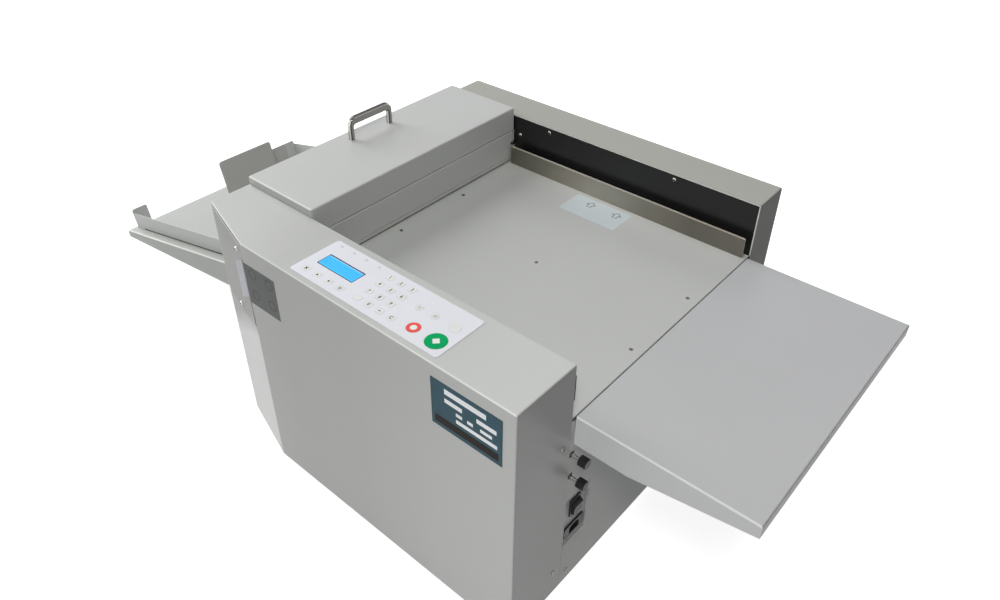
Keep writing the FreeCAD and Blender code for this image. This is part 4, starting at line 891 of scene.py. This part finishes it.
def makeRingPlate(values):
    length, height, thick = values["length"], values["height"], values["thick"]
    plane = standingPlane(housingLow.x + chamfer["run"], frontFace, sheetFoot + values["foot"])
    piece = PieceMesh("ring_plate")
    body = roundedBox(length, height, values["corner"], (length / 2, height / 2))
    piece.prism(plane, body, 0, thick, inks["smokedPlate"])
    radius = values["ringRadius"]
    for u in values["columns"]:
        for v in values["rows"]:
            inner = circle(radius - values["ringLine"], (u, v))
            piece.ring(plane, circle(radius, (u, v)), inner, *printedLevels(thick), inks["smokedRing"])
    piece.done("machine")


def makeCornerStrip(values):
    piece = PieceMesh("corner_strip")
    outline = [(u * mm, v * mm) for u, v in values["corners"]]
    piece.prism(chamferPlane(), outline, 0, values["thick"], inks["lilacStrip"])
    piece.done("machine")


makeRingPlate(ringPlate)
makeCornerStrip(cornerStrip)

# Painted highlights along sheet edges and painted shade in shut lines and under edges: corner panel, rear
# housing, fence and front guide
cornerTrim = dict(top=464.0 * mm, ends=(-132.0 * mm, -5.0 * mm), shade=(1.8 * mm, 4.4 * mm),
                  edge=(4.4 * mm, 5.4 * mm), seam=(-7.0 * mm, -1.0 * mm),
                  seamHeights=(301.0 * mm, 432.0 * mm), shadeProud=0.08 * mm, edgeProud=0.5 * mm,
                  seamProud=0.2 * mm)
housingEdge = dict(line=1.9 * mm, proud=0.12 * mm, inset=0.3 * mm)
fenceEdgeHighlight = dict(line=1.9 * mm, end=0.1 * mm, proud=0.1 * mm)
guideFoot = dict(slope=math.radians(13.85), tab=10.54 * mm, span=(36.0 * mm, 510.0 * mm),
                 line=(0.6 * mm, 2.8 * mm), proud=0.3 * mm)


# painted shade band and painted highlight under the corner panel's top, and painted shade in the seam at the
# corner
def makeCornerTrim(values):
    piece = PieceMesh("corner_trim_light_and_shade")
    plane = chamferPlane()
    for band, proud, ink in (("shade", "shadeProud", "seamShade"), ("edge", "edgeProud", "paintedHighlight")):
        heights = (values["top"] - values[band][1], values["top"] - values[band][0])
        piece.strip(plane, *values["ends"], *heights, values[proud], inks[ink])
    piece.strip(plane, *values["seam"], *values["seamHeights"], values["seamProud"], inks["seamShade"])
    piece.done("machine")


# painted highlight along the rear housing's front top edge and its edge at the feed end
def makeHousingEdge(values):
    low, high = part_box("rear_housing")
    plane = standingPlane(high.x, low.y, high.z)
    length = high.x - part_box("top_cover")[1].x
    inset, proud = values["inset"], values["proud"]
    inner = -values["line"] - inset
    piece = PieceMesh("housing_edge_highlight")
    piece.strip(plane, -length, -inset, inner, -inset, proud, inks["paintedHighlight"])
    piece.strip(plane, inner, -inset, tableTop - high.z, inner, proud, inks["paintedHighlight"])
    piece.done("machine")


# painted highlight along the fence's top edge
def makeFenceEdge(values):
    low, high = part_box("paper_fence")
    plane = standingPlane(low.x, low.y, high.z)
    end = values["end"]
    piece = PieceMesh("fence_edge_highlight")
    piece.strip(plane, end, high.x - low.x - end, -values["line"], -end, values["proud"], inks["fenceEdgeHighlight"])
    piece.done("machine")


# painted shade along the foot of the front guide
def makeGuideFoot(values):
    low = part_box("exit_guide_front")[0]
    slope = Vector((math.cos(values["slope"]), 0, math.sin(values["slope"])))
    plane = Plane((low.x + values["tab"], low.y, low.z), slope, (-slope.z, 0, slope.x))
    piece = PieceMesh("guide_foot_shade")
    piece.strip(plane, *values["span"], *values["line"], values["proud"], inks["seamShade"])
    piece.done("guide_front")


makeCornerTrim(cornerTrim)
makeHousingEdge(housingEdge)
makeFenceEdge(fenceEdgeHighlight)
makeGuideFoot(guideFoot)

# Rolled lip under the entry beam that narrows the mouth to the sheet's path
entryLip = dict(setback=0.6 * mm, thick=2.4 * mm, clear=3.2 * mm, roll=1.0 * mm, tuck=0.3 * mm, steps=6)


def makeEntryLip(values):
    low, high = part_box("entry_beam")
    plane = standingPlane(high.x, low.y, low.z)
    front = -values["setback"]
    back = front - values["thick"]
    roll = values["roll"]
    rollLevel = tableTop + values["clear"] - low.z + roll
    outline = [(back, values["tuck"]), (back, rollLevel)]
    for step in range(values["steps"] + 1):
        angle = math.pi * (1 + step / values["steps"])
        outline.append(((front + back) / 2 + values["thick"] / 2 * math.cos(angle),
                        rollLevel + roll * math.sin(angle)))
    outline += [(front, rollLevel), (front, values["tuck"])]
    piece = PieceMesh("entry_lip")
    piece.prism(plane, outline, low.y - high.y, 0, finishes["warm_grey_paint"])
    piece.done("machine")


makeEntryLip(entryLip)

# Pin tips and a tab hole at the rear end of the entry beam, the bright spot a painted glint, each spot ringed
# dark: across, height and radius in millimetres
beamMarks = dict(dark=[(608.1, 405.5, 2.6), (615.8, 408.0, 2.4)], bright=[(605.4, 392.2, 1.8)],
                 thick=0.4 * mm, sink=0.1 * mm, rim=0.5 * mm)


def makeBeamMarks(values):
    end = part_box("entry_beam")[1].x
    thick, sink = values["thick"], values["sink"]
    disc = partial(circle, steps=20)
    piece = PieceMesh("beam_marks")
    for ink, spots in (("seamShade", values["dark"]), ("paintedHighlight", values["bright"])):
        for across, height, size in spots:
            plane = Plane((end, frontFace + across * mm, sheetFoot + height * mm), (0, 1, 0), (0, 0, 1))
            radius = size * mm
            piece.prism(plane, disc(radius), -sink, thick, inks[ink])
            piece.ring(plane, disc(radius + values["rim"]), disc(radius), -sink, thick / 2, inks["seamShade"])
    piece.done("machine")


makeBeamMarks(beamMarks)

# Painted shade in the shut line between the feed table and the extension tray: a dark strip lying in the gap
tableSeam = dict(reach=0.8 * mm, drop=0.9 * mm, thick=0.5 * mm, corner=0.5 * mm)


def makeTableSeam(values):
    low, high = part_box("feed_table")
    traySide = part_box("extension_tray")[0].x
    level = tableTop - values["drop"] - values["thick"]
    plane = lyingPlane((high.x + traySide) / 2, (low.y + high.y) / 2, level)
    outline = roundedBox(traySide - high.x + 2 * values["reach"], high.y - low.y, values["corner"])
    piece = PieceMesh("table_seam_shade")
    piece.prism(plane, outline, 0, values["thick"], inks["seamShade"])
    piece.done("machine")


makeTableSeam(tableSeam)
print("edges and seams done")

# Cross recesses on the screw heads as dark marks of painted shade, placed on each head of the screw mesh
screwCross = dict(reach=1.4 * mm, stroke=1.6 * mm, sink=0.05 * mm, rise=0.04 * mm, layer=0.002 * mm)


def connectedPoints(part):    # the points of each separate solid of a node
    shape = bmesh.new()
    shape.from_mesh(part.data)
    bmesh.ops.remove_doubles(shape, verts=shape.verts, dist=1e-6)
    unseen = set(shape.verts)
    while unseen:
        wave = [unseen.pop()]
        points = []
        while wave:
            vertex = wave.pop()
            points.append(part.matrix_world @ vertex.co)
            for edge in vertex.link_edges:
                other = edge.other_vert(vertex)
                if other in unseen:
                    unseen.remove(other)
                    wave.append(other)
        yield points
    shape.free()


def screwHeads():    # middle of each head's outer face, its axis and which way it looks
    heads = []
    for points in connectedPoints(nodes["machine_screws"]):
        low = [min(p[k] for p in points) for k in range(3)]
        high = [max(p[k] for p in points) for k in range(3)]
        spans = [high[k] - low[k] for k in range(3)]
        axis = max(range(3), key=lambda k: abs(2 * spans[k] - spans[k - 1] - spans[k - 2]))
        middle = [(low[k] + high[k]) / 2 for k in range(3)]
        across = [k for k in range(3) if k != axis]
        reach = [math.hypot(*(p[k] - middle[k] for k in across)) for p in points]
        widest = [p[axis] for p, r in zip(points, reach) if r > 0.9 * max(reach)]
        outward = 1 if sum(widest) / len(widest) > middle[axis] else -1
        middle[axis] = high[axis] if outward > 0 else low[axis]
        heads.append((middle, axis, outward))
    return sorted(heads)


def makeScrewCrosses(values):
    reach = values["reach"]
    piece = PieceMesh("screw_recess_shade")
    for middle, axis, outward in screwHeads():
        out = [0, 0, 0]
        out[axis] = outward
        right = [0, 0, 0]
        right[(axis + 1) % 3] = 1
        plane = Plane(middle, right, Vector(out).cross(Vector(right)))
        for way, lift in ((1, values["layer"]), (-1, 0)):
            points = barBetween((-reach, -reach * way), (reach, reach * way), values["stroke"])
            piece.prism(plane, points, -values["sink"], values["rise"] + lift, inks["seamShade"])
    piece.done("machine")


makeScrewCrosses(screwCross)

# Sticker on the feed table with two outline arrows
tableLabel = dict(start=218.0 * mm, length=119.0 * mm, front=530.0 * mm, depth=62.0 * mm, thick=0.12 * mm,
                  corner=3.0 * mm, arrow=17.0 * mm, line=1.2 * mm, columns=(0.345, 0.815), row=0.71,
                  sink=0.02 * mm, rise=0.03 * mm)


def arrowOutline(size):
    half = size / 2
    return [(-0.28 * size, -half), (0.28 * size, -half), (0.28 * size, 0), (0.62 * size, 0), (0, half * 1.15),
            (-0.62 * size, 0), (-0.28 * size, 0)]


def shrinkOutline(points, distance):
    count = len(points)
    moved = []
    for i in range(count):
        here = Vector(points[i])
        before = (here - Vector(points[i - 1])).normalized()
        after = (Vector(points[(i + 1) % count]) - here).normalized()
        normalA = Vector((-before.y, before.x))
        normalB = Vector((-after.y, after.x))
        bisector = (normalA + normalB).normalized()
        moved.append(tuple(here + bisector * (distance / max(0.3, bisector.dot(normalA)))))
    return moved


def makeTableLabel(values):
    length, depth, thick = values["length"], values["depth"], values["thick"]
    plane = lyingPlane(feedEnd - values["start"] - length, frontFace + values["front"], tableTop)
    piece = PieceMesh("table_label")
    sheet = roundedBox(length, depth, values["corner"], (length / 2, depth / 2))
    piece.prism(plane, sheet, 0, thick, inks["labelBlue"])
    outer = arrowOutline(values["arrow"])
    inner = shrinkOutline(outer, values["line"])
    for column in values["columns"]:
        u, v = column * length, values["row"] * depth
        outerHere, innerHere = ([(u + x, v + y) for x, y in outline] for outline in (outer, inner))
        levels = (thick - values["sink"], thick + values["rise"])
        piece.ring(plane, outerHere, innerHere, *levels, inks["labelInk"])
    piece.done("machine")


makeTableLabel(tableLabel)
print("screws and label done")

# Floor, world and lamps
studio = dict(world=0.15, worldFeedEnd=0.035, worldTint=(0.93, 0.92, 1.04), aim=(0.0, 0.0, 0.35), floor=0.5,
              floorReach=30.0, nearGlow=0.86, nearReach=1.6, farReach=4.0)
lamps = [
    dict(name="leftSoft", place=(-2.6, -0.2, 2.7), size=2.4, power=63.0, tint=(1.0, 0.995, 0.98)),
    dict(name="frontSoft", place=(1.3, -1.5, 2.6), size=0.5, power=29.5, tint=(1.0, 0.985, 0.86)),
    dict(name="frontLow", place=(0.72, -1.05, 0.12), size=0.6, power=1.6, tint=(0.95, 0.96, 1.0)),
    dict(name="leftLow", place=(-3.0, -0.42, 0.9), size=1.6, power=40.0, tint=(0.99, 1.0, 0.98)),
    dict(name="rightFill", place=(2.6, 0.2, 1.6), size=2.0, power=2.2, tint=(0.66, 0.65, 1.0)),
    dict(name="topSoft", place=(0.4, 0.4, 3.4), size=2.2, power=17.0, tint=(0.96, 0.97, 1.0)),
    dict(name="rearSoft", place=(-0.2, 2.8, 0.5), size=1.6, power=16.0, tint=(1.0, 1.0, 0.98)),
]


def seenRays(tree):    # one for rays that show the background, zero for rays that light the machine
    path = addNode(tree, "ShaderNodeLightPath").outputs
    straight = mathNode(tree, "MAXIMUM", path["Is Camera Ray"], path["Is Glossy Ray"])
    return mathNode(tree, "MAXIMUM", straight, path["Is Transmission Ray"])


# Pale floor that glows evenly further out and keeps the shadow near the machine
def makeFloor(values):
    data = bpy.data.meshes.new("floor")
    shape = bmesh.new()
    bmesh.ops.create_grid(shape, x_segments=2, y_segments=2, size=values["floorReach"])
    shape.to_mesh(data)
    shape.free()
    floor = addObject("floor", data)
    material, tree, shader = startMaterial("paleFloor")
    tree.nodes.remove(shader)
    plain = addNode(tree, "ShaderNodeBsdfDiffuse")
    plain.inputs["Color"].default_value = opaque((values["floor"],) * 3)
    reach = addNode(tree, "ShaderNodeVectorMath", operation="LENGTH")
    feed(tree, coordinate(tree, "Object"), reach.inputs[0])
    level = remap(tree, reach.outputs["Value"], values["nearGlow"], 1.0,
                  values["nearReach"], values["farReach"])
    glow = addNode(tree, "ShaderNodeEmission")
    feed(tree, mathNode(tree, "MULTIPLY", seenRays(tree), level), glow.inputs["Strength"])
    both = addNode(tree, "ShaderNodeAddShader")
    feed(tree, plain.outputs[0], both.inputs[0])
    feed(tree, glow.outputs[0], both.inputs[1])
    feed(tree, both.outputs[0], tree.nodes["Material Output"].inputs["Surface"])
    data.materials.append(material)


# White world for the camera, a dim one for the light: weaker from the feed end than from the exit end
def makeWorld(values):
    world = bpy.data.worlds.new("studio")
    bpy.context.scene.world = world
    world.use_nodes = True
    tree = world.node_tree
    seen = seenRays(tree)
    background = tree.nodes["Background"]
    mixed = addNode(tree, "ShaderNodeMix", data_type="RGBA")
    mixed.inputs["A"].default_value = opaque(values["worldTint"])
    mixed.inputs["B"].default_value = (1, 1, 1, 1)
    feed(tree, seen, mixed.inputs["Factor"])
    feed(tree, mixed.outputs["Result"], background.inputs["Color"])
    side = axesOf(tree, coordinate(tree, "Generated"))["X"]
    dim = remap(tree, side, values["world"], values["worldFeedEnd"], 0.0, 0.6)
    feed(tree, remap(tree, seen, dim, 1.0, 0.0, 1.0), background.inputs["Strength"])


def addLamp(name, place, size, power, tint, aim):
    data = bpy.data.lights.new(name, "AREA")
    data.shape = "SQUARE"
    data.size = size
    data.energy = power
    data.color = tint
    lamp = addObject(name, data)
    lamp.location = place
    lamp.rotation_euler = (Vector(aim) - Vector(place)).to_track_quat("-Z", "Y").to_euler()
    lamp.visible_camera = False


makeFloor(studio)
makeWorld(studio)
for lamp in lamps:
    addLamp(**lamp, aim=studio["aim"])
bpy.context.scene.view_settings.view_transform = "Standard"
print("studio done:", len(lamps), "lamps")

bpy.context.view_layer.update()
